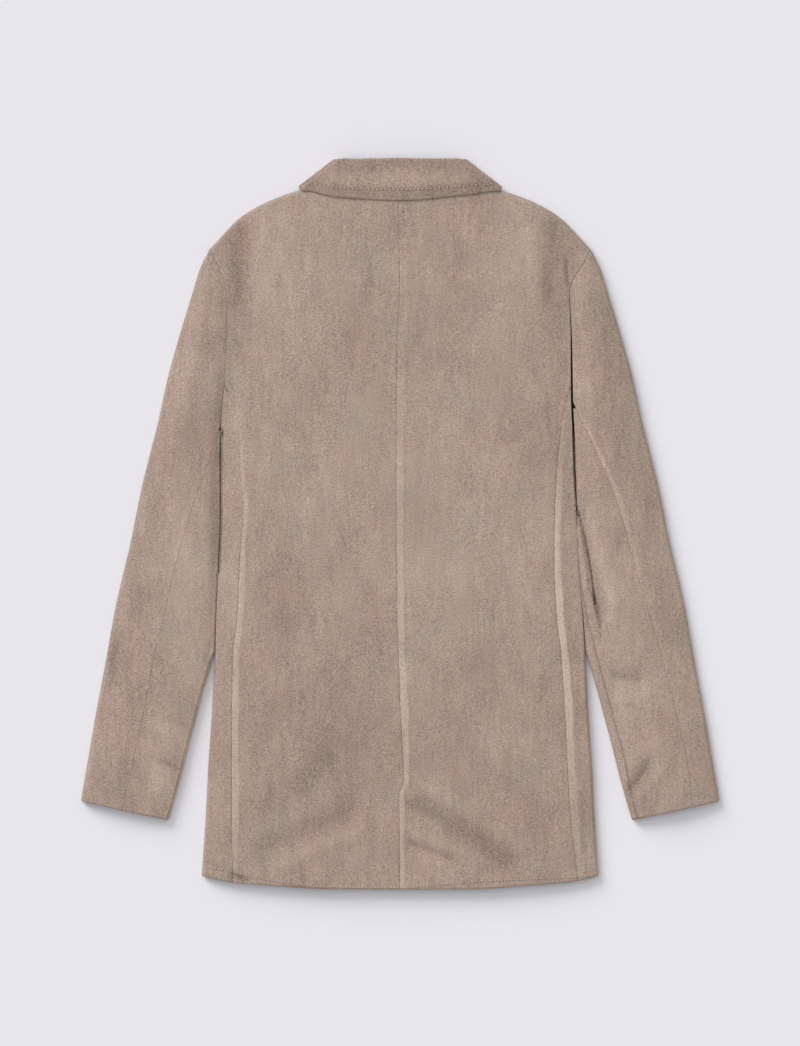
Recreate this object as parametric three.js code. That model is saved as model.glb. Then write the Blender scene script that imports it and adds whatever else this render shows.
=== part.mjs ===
// Suede jacket laid flat, face down with its back up.
// Millimetres. +X is to the right as seen from above, +Y towards the collar, +Z up. The origin lies on the
// surface under the middle of the jacket. Each panel is a thin wall of cloth worked out from the tables below.
// A side value of -1 is the left of the jacket as seen, and +1 the right; x is measured outwards on each side.

import * as THREE from 'three';

// Thickness of the cloth and the gap left at every seam
const CLOTH_WALL = 1.5;
const COLLAR_WALL = 2.2;
const SEAM_GAP = 0.3;

// How far the folded edges round inwards, seen from above
const BODY_SIDE_FOLD = 4;
const SLEEVE_OUTER_FOLD = 5;
const SHOULDER_FOLD = 4.5;
const SHOULDER_SEAM_ANGLE = 0.08;
const COLLAR_SIDE_FOLD = 6;
const COLLAR_ROLL = 2.6;

// Pressed seam allowance that stands proud beside a seam
const RIDGE_HEIGHT = 0.6;
const RIDGE_WIDTH = 7;
const RIDGE_SLOPE = 1.2;
const RIDGE_TOP = 131;
const RIDGE_FADE = 20;

// Where the armhole closes under the arm, how far above that its edge begins to dip, and where the side-back seams
// meet it
const UNDERARM_Y = 60;
const UNDERARM_DIP = 50;
const ARMHOLE_Y = 146;

// The fronts lie over each other at the centre
const FRONT_OVERLAP = 45;
const LAP_LIFT = 2.9;
const LAP_FROM = 105;
const LAP_RAMP = 35;

// How far from a folded edge the loft reaches its full height
const SIDE_LOFT_REACH = 95;
const SHOULDER_LOFT_REACH = 85;

// How far from an edge the folds of the top surface fade in, in millimetres, or as a share of a sleeve's width
const FOLD_EASE = 20;
const SLEEVE_EASE = 0.1;

// Steps of the grids that follow a seam: the strip beside it, and the part of an under sleeve on its inner fold
const SEAM_STAGE = 0.3;
const INNER_STAGE = 0.35;

// Half length of the arc of a side fold for each radian of its turn, and the end of the side panel on it
const SIDE_FOLD_ARC = 4.8;
const SIDE_POINT_Y = 64;

// The suede's colour, as seen on the back
const SUEDE = new THREE.Color().setRGB(169 / 255, 149 / 255, 136 / 255, THREE.SRGBColorSpace);
const SUEDE_ROUGHNESS = 0.95;

// Lines of the body from hem to neck: half widths to the folded edge and to the side-back seams, the centre-back
// seam, and the heights of the top surface at the edge and in the middle. The seams meet the armholes at 146.
const BODY = table([
  'y', 'leftEdge', 'leftSeam', 'centre',
  'rightSeam', 'rightEdge', 'edgeHeight', 'middleHeight',
], [
  [-384, 209.5, 176.0, -0.4, 187.5, 209.5, 8.5, 12.5],
  [-369, 208.6, 176.0, -0.5, 186.2, 208.6, 8.6, 12.8],
  [-324, 205.4, 177.1, -0.8, 180.6, 205.4, 9.0, 14.0],
  [-286, 203.2, 177.2, -1.3, 177.3, 203.2, 9.4, 15.0],
  [-270, 202.6, 177.2, 3.6, 176.4, 202.6, 9.6, 15.3],
  [-200, 198.0, 177.0, 0.4, 173.0, 198.0, 10.0, 16.2],
  [-133, 194.5, 175.7, -2.0, 168.6, 194.5, 10.0, 16.8],
  [-100, 193.7, 171.4, -3.2, 164.2, 192.2, 10.0, 17.0],
  [-37, 190.5, 168.5, -3.7, 161.5, 187.3, 10.0, 17.2],
  [16, 188.7, 165.0, -4.0, 162.5, 185.3, 10.2, 17.2],
  [60, 188.9, 168.6, -3.9, 165.0, 183.2, 10.8, 17.2],
  [103, 188.4, 170.0, -3.7, 169.5, 181.6, 11.8, 17.0],
  [130, 186.4, 177.0, -3.6, 174.8, 180.4, 12.6, 17.0],
  [146, 184.4, 184.4, -3.5, 180.2, 180.2, 13.0, 16.8],
  [193, 182.4, 182.4, -3.0, 179.7, 179.7, 13.2, 16.5],
  [235, 182.0, 182.0, -1.0, 178.2, 178.2, 13.0, 16.2],
  [246, 182.8, 182.8, -0.7, 177.8, 177.8, 12.6, 16.1],
  [254, 184.2, 184.2, -0.6, 180.4, 180.4, 12.3, 16.0],
  [264, 188.0, 188.0, -0.6, 186.1, 186.1, 11.7, 15.6],
  [273, 192.0, 192.0, -0.7, 192.7, 192.7, 11.3, 15.3],
  [288, 199.0, 199.0, -1.0, 199.6, 199.6, 10.4, 15.0],
  [292, 200.9, 200.9, -1.1, 201.4, 201.4, 10.4, 15.0],
  [384, 201.5, 201.5, -2.3, 202.0, 202.0, 10.6, 14.5],
]);

// The hem from the centre outwards
const HEM = table(['x', 'y'], [
  [0, -384.0],
  [80, -383.5],
  [126, -380.5],
  [173, -377.0],
  [199, -372.5],
  [209, -369.0],
]);

// Upper boundary of the backs from the centre outwards: the neck seam, then the shoulder edge. rim is the line
// that the loft falls to, and turn the share of the quarter turn that the cloth makes over the shoulder.
const BACK_TOP = table(['x', 'y', 'rim', 'turn'], [
  [0, 352.0, 470, 0.12],
  [60, 354.0, 430, 0.12],
  [80, 357.0, 392, 0.12],
  [90, 355.6, 368, 0.5],
  [98, 353.2, 356, 1],
  [106, 350.6, 350.6, 1],
  [118, 346.9, 346.9, 1],
  [143, 337.0, 337, 1],
  [168, 322.0, 322, 1],
  [187, 303.0, 303, 1],
  [201, 287.5, 287.5, 1],
]);

// Upper boundary of the fronts, from the overlapped edge past the centre to the shoulder
const FRONT_TOP = table(['x', 'y', 'turn'], [
  [-45, 228.0, 0.12],
  [0, 248.0, 0.12],
  [46, 262.0, 0.12],
  [70, 310.0, 0.12],
  [88, 346.0, 0.12],
  [98, 353.2, 1],
  [106, 350.6, 1],
  [118, 346.9, 1],
  [143, 337.0, 1],
  [168, 322.0, 1],
  [187, 303.0, 1],
  [201, 287.5, 1],
]);

// Seam between side panel and front, on the underside: how far it lies inside the folded edge
const FRONT_SEAM = table(['y', 'inset'], [
  [-384, 87],
  [-200, 80],
  [-50, 68],
  [16, 56],
  [60, 41],
  [98, 22],
  [121, 11],
  [146, 0],
]);

// Where the fronts start to rise over the collar leaves
const LIFT_START = table(['x', 'y'], [
  [-45, 236],
  [70, 236],
  [102, 288],
  [150, 388],
]);

// Sleeve rows from the cuff to the head, each a straight line across from the inner edge to the outer fold
const SLEEVE = table(['innerY', 'outerY', 'outerX', 'innerHeight', 'outerHeight', 'crown'], [
  [-311.5, -291.5, 335.8, 9.0, 9.0, 12.5],
  [-267.0, -248.6, 328.3, 9.3, 9.3, 13.8],
  [-220.0, -203.0, 320.5, 9.5, 9.5, 14.6],
  [-166.0, -150.0, 310.5, 9.5, 9.5, 15.0],
  [-95.0, -82.0, 298.0, 9.6, 9.6, 15.2],
  [-29.0, -18.0, 283.0, 10.0, 9.8, 15.4],
  [30.0, 39.0, 271.5, 10.4, 10.0, 15.6],
  [59.0, 67.0, 264.6, 10.8, 10.0, 15.8],
  [100.0, 107.0, 254.4, 11.7, 10.0, 16.0],
  [146.0, 152.0, 244.6, 13.0, 10.0, 16.0],
  [196.0, 201.0, 231.0, 13.2, 10.0, 15.6],
  [237.0, 241.0, 218.8, 13.0, 10.0, 14.0],
  [266.0, 268.0, 210.4, 11.7, 10.0, 11.8],
  [277.0, 277.5, 206.2, 11.0, 10.0, 11.0],
  [288.6, 283.2, 202.9, 10.4, 10.0, 10.2],
]);

// Inner edge of the sleeve below the place where it leaves the body
const SLEEVE_INNER = table(['y', 'x'], [
  [-311.5, 243.7],
  [-267.0, 231.0],
  [-231.0, 222.0],
  [-208.5, 216.0],
  [-171.0, 206.0],
  [-133.0, 194.65],
]);

// Back seams of the sleeves, and how far the inner seams lie inside the inner edge
const SLEEVE_SEAMS = table(['y', 'leftBack', 'rightBack', 'leftInner', 'rightInner'], [
  [-312, 293.5, 308.6, 1.5, 6.5],
  [-299, 291.3, 307.4, 1.5, 7.0],
  [-248.6, 280.0, 301.6, 2.0, 10.0],
  [-189, 267.2, 287.6, 2.0, 9.5],
  [-132, 256.4, 273.0, 1.2, 10.5],
  [-101.5, 248.6, 263.8, 0.8, 5.0],
  [-56, 238.6, 250.0, 0.5, 1.0],
  [-2, 223.7, 235.2, 0.2, 0.2],
  [27, 214.4, 226.0, 0.1, 0.1],
  [56, 204.4, 214.0, 0.0, 0.0],
  [100, 189.6, 194.0, 0.0, 0.0],
  [127, 180.0, 181.0, 0.0, 0.0],
  [160, 170.0, 170.0, 0.0, 0.0],
]);

// Rows shared by all panels, so that their seams run along the same points. A row is a y value up to the
// armhole; above it the last value stands for the upper end of each column.
const LOWEST_ROW = -384;
const HEM_ROW = -340;
const TOP_ROW = 352;
const BODY_ROWS = [
  -384, -362, -340, -312, -286, -270, -235, -200, -166, -133, -112, -90, -60, -30, 0, 30, 60, 80, 98, 121,
  134, 146, 172, 198, 224, 250, 276, 302, 328, 352,
];
const SLEEVE_ROWS = [-311.5, -290, -267, -243, -220, -192, -166, ...BODY_ROWS.slice(9)];
const UNDER_SLEEVE_TOP = { left: 98, right: 121 };

// Free edge of the collar on the back, and the corners that fix its shape: the flat part ends beside the slanted
// side turns, and the leaves underneath end at their own two corners.
const COLLAR_FREE_EDGE = table(['x', 'y'], [
  [-101.5, 351.6],
  [-65, 343.0],
  [0, 339.6],
  [74, 346.0],
  [101.5, 351.2],
]);
const COLLAR_TOP_Y = 384;
const COLLAR_FOOT_X = 101.5;
const COLLAR_ROLL_X = 61.4;
const COLLAR_SLANT = { x: 0.637, y: 0.771 };
const COLLAR_TRIM = 7.4;
const LEAF_FREE_CORNER = { x: 58, y: 262 };
const LEAF_ROLL_CORNER = { x: 20, y: 296 };
const COLLAR_OVER_BACK = COLLAR_WALL + 1.1;
const LEAF_LIFT = COLLAR_WALL + 0.6;
const LEAF_RAMP = 24;
const STAND_DEPTH = 3.7;
const STAND_FROM = 0.34;
const STAND_TO = 0.95;

// The largest folds of the top surface: from one end to the other, width and height, a trough being negative
const FOLDS = table(['name', 'x0', 'y0', 'x1', 'y1', 'width', 'height'], [
  ['left shoulder hollow', -166, 304, -172, 232, 26, -2.2],
  ['right shoulder hollow', 160, 312, 163, 240, 24, -2.0],
  ['left shoulder blade', -120, 250, -128, 120, 60, 0.9],
  ['right shoulder blade', 112, 255, 124, 130, 60, 0.9],
  ['waist on the left', -140, 30, -120, -110, 46, -0.9],
  ['waist on the right', 128, 20, 116, -120, 46, -0.9],
  ['right sleeve pinch', 190, 6, 212, -92, 13, -2.0],
  ['right sleeve pinch ridge', 201, 8, 222, -84, 16, 1.2],
  ['right elbow', 229, -162, 248, -160, 18, -1.4],
  ['right cuff', 240, -278, 262, -252, 14, -1.4],
  ['left elbow', -296, -125, -302, -166, 20, -1.3],
  ['left cuff', -236, -262, -262, -248, 16, -1.2],
  ['hem on the right', 12, -338, 58, -355, 16, -1.2],
]);

// Maths helpers

// A table as a list of rows, each with its named columns
function table(columns, rows) {
  return rows.map((row) => Object.fromEntries(columns.map((column, index) => [column, row[index]])));
}

function clamp(value, low, high) {
  return Math.min(high, Math.max(low, value));
}

function blend(from, to, share) {
  return from + (to - from) * share;
}

function smooth(share) {
  const t = clamp(share, 0, 1);
  return t * t * (3 - 2 * t);
}

function domed(share) {
  const t = clamp(share, 0, 1);
  return 1 - (1 - t) * (1 - t);
}

// A smooth curve through one column of a table, whose slopes never overshoot the rows
function readTable(rows, key, column, at) {
  const last = rows.length - 1;
  if (at <= rows[0][key]) return rows[0][column];
  if (at >= rows[last][key]) return rows[last][column];
  let i = 0;
  while (rows[i + 1][key] < at) i += 1;
  const secant = (k) => (rows[k + 1][column] - rows[k][column]) / (rows[k + 1][key] - rows[k][key]);
  const slope = (k) => {
    if (k === 0) return secant(0);
    if (k === last) return secant(last - 1);
    const before = secant(k - 1);
    const after = secant(k);
    return before * after <= 0 ? 0 : (2 * before * after) / (before + after);
  };
  const span = rows[i + 1][key] - rows[i][key];
  const t = (at - rows[i][key]) / span;
  const start = rows[i][column] * (1 + 2 * t) * (1 - t) ** 2 + slope(i) * span * t * (1 - t) ** 2;
  const end = rows[i + 1][column] * t * t * (3 - 2 * t) + slope(i + 1) * span * t * t * (t - 1);
  return start + end;
}

// A solid wall between an outer and an inner surface given on one grid of columns and rows. The outer surface
// faces along (column direction) x (row direction), or against it when flipped.
function wallSolid(columns, rows, outerAt, innerAt, flipped) {
  const positions = [];
  for (const surface of [outerAt, innerAt]) {
    for (const row of rows) {
      columns.forEach((column, index) => positions.push(...surface(column, row, index).toArray()));
    }
  }
  const inside = columns.length * rows.length;
  const at = (c, r) => r * columns.length + c;
  const faces = [];
  const quad = (a, b, c, d) => (flipped ? faces.push(a, c, b, a, d, c) : faces.push(a, b, c, a, c, d));
  for (let r = 0; r + 1 < rows.length; r += 1) {
    for (let c = 0; c + 1 < columns.length; c += 1) {
      quad(at(c, r), at(c + 1, r), at(c + 1, r + 1), at(c, r + 1));
      quad(inside + at(c, r), inside + at(c, r + 1), inside + at(c + 1, r + 1), inside + at(c + 1, r));
    }
  }
  for (let c = 0; c + 1 < columns.length; c += 1) {
    const top = rows.length - 1;
    quad(at(c + 1, 0), at(c, 0), inside + at(c, 0), inside + at(c + 1, 0));
    quad(at(c, top), at(c + 1, top), inside + at(c + 1, top), inside + at(c, top));
  }
  for (let r = 0; r + 1 < rows.length; r += 1) {
    const end = columns.length - 1;
    quad(at(0, r), at(0, r + 1), inside + at(0, r + 1), inside + at(0, r));
    quad(at(end, r + 1), at(end, r), inside + at(end, r), inside + at(end, r + 1));
  }
  const geometry = new THREE.BufferGeometry();
  geometry.setAttribute('position', new THREE.Float32BufferAttribute(positions, 3));
  geometry.setIndex(faces);
  return geometry;
}

// A cloth panel: the surface with its relief outside, and the same surface moved in by the wall inside
function clothPanel(name, columns, rows, surface, side, reliefs) {
  const step = 2e-3;
  const low = { column: columns[0], row: rows[0] };
  const high = { column: columns[columns.length - 1], row: rows[rows.length - 1] };
  const outward = (column, row) => {
    const east = surface(Math.min(column + step, high.column), row);
    const west = surface(Math.max(column - step, low.column), row);
    const north = surface(column, Math.min(row + step, high.row));
    const south = surface(column, Math.max(row - step, low.row));
    return east.sub(west).cross(north.sub(south)).normalize().multiplyScalar(side);
  };
  const outerAt = (column, row, index) =>
    surface(column, row).addScaledVector(outward(column, row), reliefs ? reliefs(index, row) : 0);
  const innerAt = (column, row) => surface(column, row).addScaledVector(outward(column, row), -CLOTH_WALL);
  return suedeMesh(name, wallSolid(columns, rows, outerAt, innerAt, side < 0));
}

function suedeMesh(name, geometry) {
  const material = new THREE.MeshStandardMaterial({ color: SUEDE, roughness: SUEDE_ROUGHNESS, metalness: 0 });
  const mesh = new THREE.Mesh(geometry, material);
  mesh.name = name;
  return mesh;
}

function evenly(from, to, steps) {
  return Array.from({ length: steps + 1 }, (_, i) => blend(from, to, i / steps));
}

// Lines and heights of the body

function sideName(side) {
  return side < 0 ? 'left' : 'right';
}

function edgeAt(side, y) {
  return readTable(BODY, 'y', `${sideName(side)}Edge`, y);
}

function sideSeamAt(side, y) {
  return readTable(BODY, 'y', `${sideName(side)}Seam`, y);
}

function centreAt(side, y) {
  return side * readTable(BODY, 'y', 'centre', y);
}

function frontOuterAt(side, y) {
  return edgeAt(side, y) - readTable(FRONT_SEAM, 'y', 'inset', y);
}

function hemAt(x) {
  return readTable(HEM, 'x', 'y', Math.abs(x));
}

// Height that the folds add at a place: a smooth bell across each fold that dies out at its ends
function foldHeight(x, y) {
  let sum = 0;
  for (const fold of FOLDS) {
    const dx = fold.x1 - fold.x0;
    const dy = fold.y1 - fold.y0;
    const length = Math.hypot(dx, dy);
    const along = ((x - fold.x0) * dx + (y - fold.y0) * dy) / length;
    const off = ((x - fold.x0) * dy - (y - fold.y0) * dx) / length;
    const beyond = Math.max(0, -along, along - length);
    sum += fold.height * Math.exp(-4 * (off * off + beyond * beyond) / (fold.width * fold.width));
  }
  return sum;
}

// Top surface of the body: the edge height, rising to the middle height away from sides and shoulders
function bodyHeight(side, x, y) {
  const edge = readTable(BODY, 'y', 'edgeHeight', y);
  const middle = readTable(BODY, 'y', 'middleHeight', y);
  const fromSide = Math.max(0, edgeAt(side, y) - BODY_SIDE_FOLD - x);
  const rim = readTable(BACK_TOP, 'x', 'rim', Math.abs(x));
  const fromShoulder = Math.max(0, rim - SHOULDER_FOLD - y);
  const inside = Math.min(1, fromSide / FOLD_EASE, fromShoulder / FOLD_EASE);
  const rise = domed(fromSide / SIDE_LOFT_REACH) * domed(fromShoulder / SHOULDER_LOFT_REACH);
  return edge + (middle - edge) * rise + inside * foldHeight(side * x, y);
}

// How far the fronts lie above the surface: over the collar leaves, and the left one over the right one
function frontLift(side, x, y) {
  const leaf = smooth((y - readTable(LIFT_START, 'x', 'y', x)) / LEAF_RAMP);
  const lap = side < 0 ? smooth((LAP_FROM - x) / LAP_RAMP) : 0;
  return Math.max(LEAF_LIFT * leaf, LAP_LIFT * lap);
}

// Angle to which a side fold is cut away above the underarm: a half of the fold below it and nothing above
function foldTurn(y) {
  return (Math.PI / 2) * smooth((UNDERARM_Y + UNDERARM_DIP - y) / UNDERARM_DIP);
}

// The y of a row on a column that runs from its own hem point to its own upper end
function rowY(row, bottomY, topY) {
  if (row < HEM_ROW) return blend(bottomY, HEM_ROW, (row - LOWEST_ROW) / (HEM_ROW - LOWEST_ROW));
  if (row <= ARMHOLE_Y) return row;
  return blend(ARMHOLE_Y, topY, (row - ARMHOLE_Y) / (TOP_ROW - ARMHOLE_Y));
}

// Where a column of a back or front reaches its upper boundary, by halving the interval, and how it turns there
function columnTop(table, lineAt) {
  let low = ARMHOLE_Y;
  let high = COLLAR_TOP_Y;
  for (let i = 0; i < 30; i += 1) {
    const middle = (low + high) / 2;
    if (middle < readTable(table, 'x', 'y', lineAt(middle))) low = middle;
    else high = middle;
  }
  const turn = (Math.PI / 2) * readTable(table, 'x', 'turn', lineAt(low));
  return { turn, flatEnd: low - SHOULDER_FOLD * Math.sin(turn) };
}

// The body panels

// Backs: across runs from the centre seam to the outer seam. Rows past the top row turn down over the shoulder.
function backSurface(side, across, row) {
  const lineAt = (y) => {
    const from = centreAt(side, y) + SEAM_GAP / 2;
    return blend(from, sideSeamAt(side, y) - SEAM_GAP / 2, across);
  };
  const { turn, flatEnd } = columnTop(BACK_TOP, lineAt);
  if (row <= TOP_ROW) {
    const y = rowY(row, hemAt(lineAt(LOWEST_ROW)), flatEnd);
    const x = lineAt(y);
    return new THREE.Vector3(side * x, y, bodyHeight(side, x, y));
  }
  const angle = (turn - SHOULDER_SEAM_ANGLE) * (row - TOP_ROW);
  const y = flatEnd + SHOULDER_FOLD * Math.sin(angle);
  const x = lineAt(y);
  const top = bodyHeight(side, lineAt(flatEnd), flatEnd);
  const low = frontLift(side, x, y);
  return new THREE.Vector3(side * x, y, low + ((top - low) * (1 + Math.cos(angle))) / 2);
}

// Fronts: across runs from the outer seam to the overlapped edge. Rows past the top row turn up at the shoulder.
function frontSurface(side, across, row) {
  const lineAt = (y) => blend(frontOuterAt(side, y) - SEAM_GAP / 2, -FRONT_OVERLAP, across);
  const { turn, flatEnd } = columnTop(FRONT_TOP, lineAt);
  if (row <= TOP_ROW) {
    const y = rowY(row, hemAt(lineAt(LOWEST_ROW)), flatEnd);
    const x = lineAt(y);
    return new THREE.Vector3(side * x, y, frontLift(side, x, y));
  }
  const angle = (turn - SHOULDER_SEAM_ANGLE) * (row - TOP_ROW);
  const y = flatEnd + SHOULDER_FOLD * Math.sin(angle);
  const x = lineAt(y);
  const top = bodyHeight(side, x, flatEnd);
  const low = frontLift(side, x, y);
  return new THREE.Vector3(side * x, y, low + ((top - low) * (1 - Math.cos(angle))) / 2);
}

// A side panel at y, on the top or the underside: its seam, the end of its flat part, and the lengths of that
// part and of the fold up to the armhole
function sideSpan(side, above, y) {
  const turn = foldTurn(y);
  const seam = (above ? sideSeamAt(side, y) : frontOuterAt(side, y)) + SEAM_GAP / 2;
  const edge = edgeAt(side, y) - SEAM_GAP / 2;
  const flatEnd = Math.max(edge - BODY_SIDE_FOLD * Math.sin(turn), seam);
  return { turn, seam, flatEnd, flat: flatEnd - seam, fold: SIDE_FOLD_ARC * turn };
}

// Side panels: girth runs from the side-back seam at -2 along the top to -1, round the fold to 1, and along the
// underside to the front seam at 2. Above the underarm each column leans to the armhole edge, where it ends.
function sideSurface(side, girth, row) {
  const above = girth < 0;
  const reach = 2 - Math.abs(girth);
  const topY = blend(ARMHOLE_Y, SIDE_POINT_Y, reach / 2);
  const lean = clamp((row - UNDERARM_Y) / (ARMHOLE_Y - UNDERARM_Y), 0, 1);
  const lowest = sideSpan(side, above, LOWEST_ROW);
  const hemY = hemAt(lowest.seam + Math.min(1, reach) * lowest.flat);
  const y = row <= UNDERARM_Y ? rowY(row, hemY, topY) : blend(UNDERARM_Y, topY, lean);
  const span = sideSpan(side, above, y);
  const start = sideSpan(side, above, Math.min(y, UNDERARM_Y));
  const end = sideSpan(side, above, topY);
  const from = Math.min(1, reach) * start.flat + Math.max(0, reach - 1) * start.fold;
  const off = Math.min(blend(from, end.flat + end.fold, lean), span.flat + span.fold);
  const angle = Math.max(0, off - span.flat) / SIDE_FOLD_ARC;
  const x = span.seam + Math.min(off, span.flat) + BODY_SIDE_FOLD * Math.sin(angle);
  const height = bodyHeight(side, Math.min(x, span.flatEnd), y);
  const z = (height * (above ? 1 + Math.cos(angle) : 1 - Math.cos(angle))) / 2;
  return new THREE.Vector3(side * x, y, z);
}

// The sleeves

// The y of a row on the armhole, which is the same on the sleeve as on the body, over the shoulder edge too
function armholeY(side, row) {
  const { turn, flatEnd } = ARMHOLE_TOP[sideName(side)];
  if (row <= TOP_ROW) return rowY(row, LOWEST_ROW, flatEnd);
  return flatEnd + SHOULDER_FOLD * Math.sin((turn - SHOULDER_SEAM_ANGLE) * (row - TOP_ROW));
}

// One straight row across a sleeve, from its inner edge to its outer fold
function sleeveRow(side, rowValue) {
  const innerY = armholeY(side, rowValue);
  const read = (column) => readTable(SLEEVE, 'innerY', column, innerY);
  const joined = innerY > SLEEVE_INNER[SLEEVE_INNER.length - 1].y;
  const innerX = joined ? edgeAt(side, innerY) + SEAM_GAP / 2 : readTable(SLEEVE_INNER, 'y', 'x', innerY);
  const inner = new THREE.Vector2(innerX, innerY);
  const across = new THREE.Vector2(read('outerX'), read('outerY')).sub(inner);
  const width = across.length();
  const turn = foldTurn(innerY);
  const outerFold = Math.min(SLEEVE_OUTER_FOLD, width * 0.45);
  const flatFrom = BODY_SIDE_FOLD * Math.sin(turn);
  return {
    inner,
    direction: across.divideScalar(width),
    width,
    turn,
    outerFold,
    flatFrom,
    flat: width - outerFold - flatFrom,
    innerHeight: read('innerHeight'),
    outerHeight: read('outerHeight'),
    crown: read('crown'),
  };
}

// Point of the ring round a sleeve: 0 to 1 along the top from inner to outer, 1 to 2 round the outer fold, 2 to
// 3 back underneath and 3 to 4 up round the inner fold; -1 to 0 is that inner fold again
function sleevePoint(side, ring, rowValue) {
  const row = sleeveRow(side, rowValue);
  let off = 0;
  let z = 0;
  if (ring < 0 || ring > 3) {
    const angle = Math.PI * (ring < 0 ? -ring : 4 - ring);
    if (angle < 0) return sleevePoint(side, ring - 4, rowValue);
    off = row.flatFrom - BODY_SIDE_FOLD * Math.sin(angle);
    z = (row.innerHeight * (1 + Math.cos(angle))) / 2;
  } else if (ring <= 1) {
    off = row.flatFrom + ring * row.flat;
    const bulge = row.crown - (row.innerHeight + row.outerHeight) / 2;
    z = blend(row.innerHeight, row.outerHeight, ring) + 4 * bulge * ring * (1 - ring);
  } else if (ring < 2) {
    const angle = Math.PI * (ring - 1);
    off = row.width - row.outerFold + row.outerFold * Math.sin(angle);
    z = (row.outerHeight * (1 + Math.cos(angle))) / 2;
  } else {
    off = row.flatFrom + (3 - ring) * row.flat;
  }
  const place = row.direction.multiplyScalar(off).add(row.inner);
  if (ring >= 0 && ring <= 1) {
    const inside = Math.min(1, ring / SLEEVE_EASE, (1 - ring) / SLEEVE_EASE);
    z += inside * foldHeight(side * place.x, place.y);
  }
  return new THREE.Vector3(side * place.x, place.y, z);
}

// Ring place of the back seam on a row
function backSeamRing(side, rowValue) {
  const row = sleeveRow(side, rowValue);
  let off = row.width / 2;
  for (let i = 0; i < 12; i += 1) {
    const y = row.inner.y + off * row.direction.y;
    const x = readTable(SLEEVE_SEAMS, 'y', `${sideName(side)}Back`, y);
    off = clamp((x - row.inner.x) / row.direction.x, row.flatFrom, row.width);
  }
  return { ring: (off - row.flatFrom) / row.flat, perMm: 1 / row.flat };
}

// Ring place of the inner seam on a row: on the inner fold where it lies close to the edge, else on the top
function innerSeamRing(side, rowValue) {
  const row = sleeveRow(side, rowValue);
  const inset = readTable(SLEEVE_SEAMS, 'y', `${sideName(side)}Inner`, row.inner.y);
  if (inset >= BODY_SIDE_FOLD) return { ring: (inset - BODY_SIDE_FOLD) / row.flat, perMm: 1 / row.flat };
  const angle = Math.asin(1 - inset / BODY_SIDE_FOLD);
  return { ring: -angle / Math.PI, perMm: 1 / (4 * BODY_SIDE_FOLD) };
}

// Top sleeves: stage 0 to 1 is the top from the back seam or armhole outwards, 1 to 2 the outer fold, 2 to 4 the
// underside and the inner fold up to the inner seam
function topSleeveSurface(side, stage, rowValue) {
  if (stage <= 1) {
    const row = sleeveRow(side, rowValue);
    const seam = backSeamRing(side, rowValue);
    const start = seam.ring + (SEAM_GAP / 2) * seam.perMm;
    const margin = Math.min(RIDGE_WIDTH + 2 * RIDGE_SLOPE, row.flat * (1 - start) * 0.4) * seam.perMm;
    const beyond = (stage - SEAM_STAGE) / (1 - SEAM_STAGE);
    const ring = beyond <= 0 ? start + (margin * stage) / SEAM_STAGE : blend(start + margin, 1, beyond);
    return sleevePoint(side, ring, rowValue);
  }
  if (stage <= 2) return sleevePoint(side, stage, rowValue);
  const row = sleeveRow(side, rowValue);
  const seam = innerSeamRing(side, rowValue);
  const cut = -1 + row.turn / Math.PI;
  const end = 4 + (row.inner.y > UNDERARM_Y ? cut : seam.ring - (SEAM_GAP / 2) * seam.perMm);
  const corner = 3 - 0.5 * (1 - Math.min(1, (end - 3) / 0.5));
  return sleevePoint(side, stage <= 3 ? blend(2, corner, stage - 2) : blend(corner, end, stage - 3), rowValue);
}

// Under sleeves: share runs from the inner seam, or the armhole edge, to the back seam
function underSleeveSurface(side, share, rowValue) {
  const row = sleeveRow(side, rowValue);
  const inner = innerSeamRing(side, rowValue);
  const back = backSeamRing(side, rowValue);
  const start = row.inner.y > UNDERARM_Y ? -row.turn / Math.PI : inner.ring + (SEAM_GAP / 2) * inner.perMm;
  const end = back.ring - (SEAM_GAP / 2) * back.perMm;
  const corner = blend(0, blend(start, end, INNER_STAGE), smooth(start / SLEEVE_EASE + 1));
  const beyond = (share - INNER_STAGE) / (1 - INNER_STAGE);
  const ring = beyond <= 0 ? blend(start, corner, share / INNER_STAGE) : blend(corner, end, beyond);
  return sleevePoint(side, ring, rowValue);
}

// The collar

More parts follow.
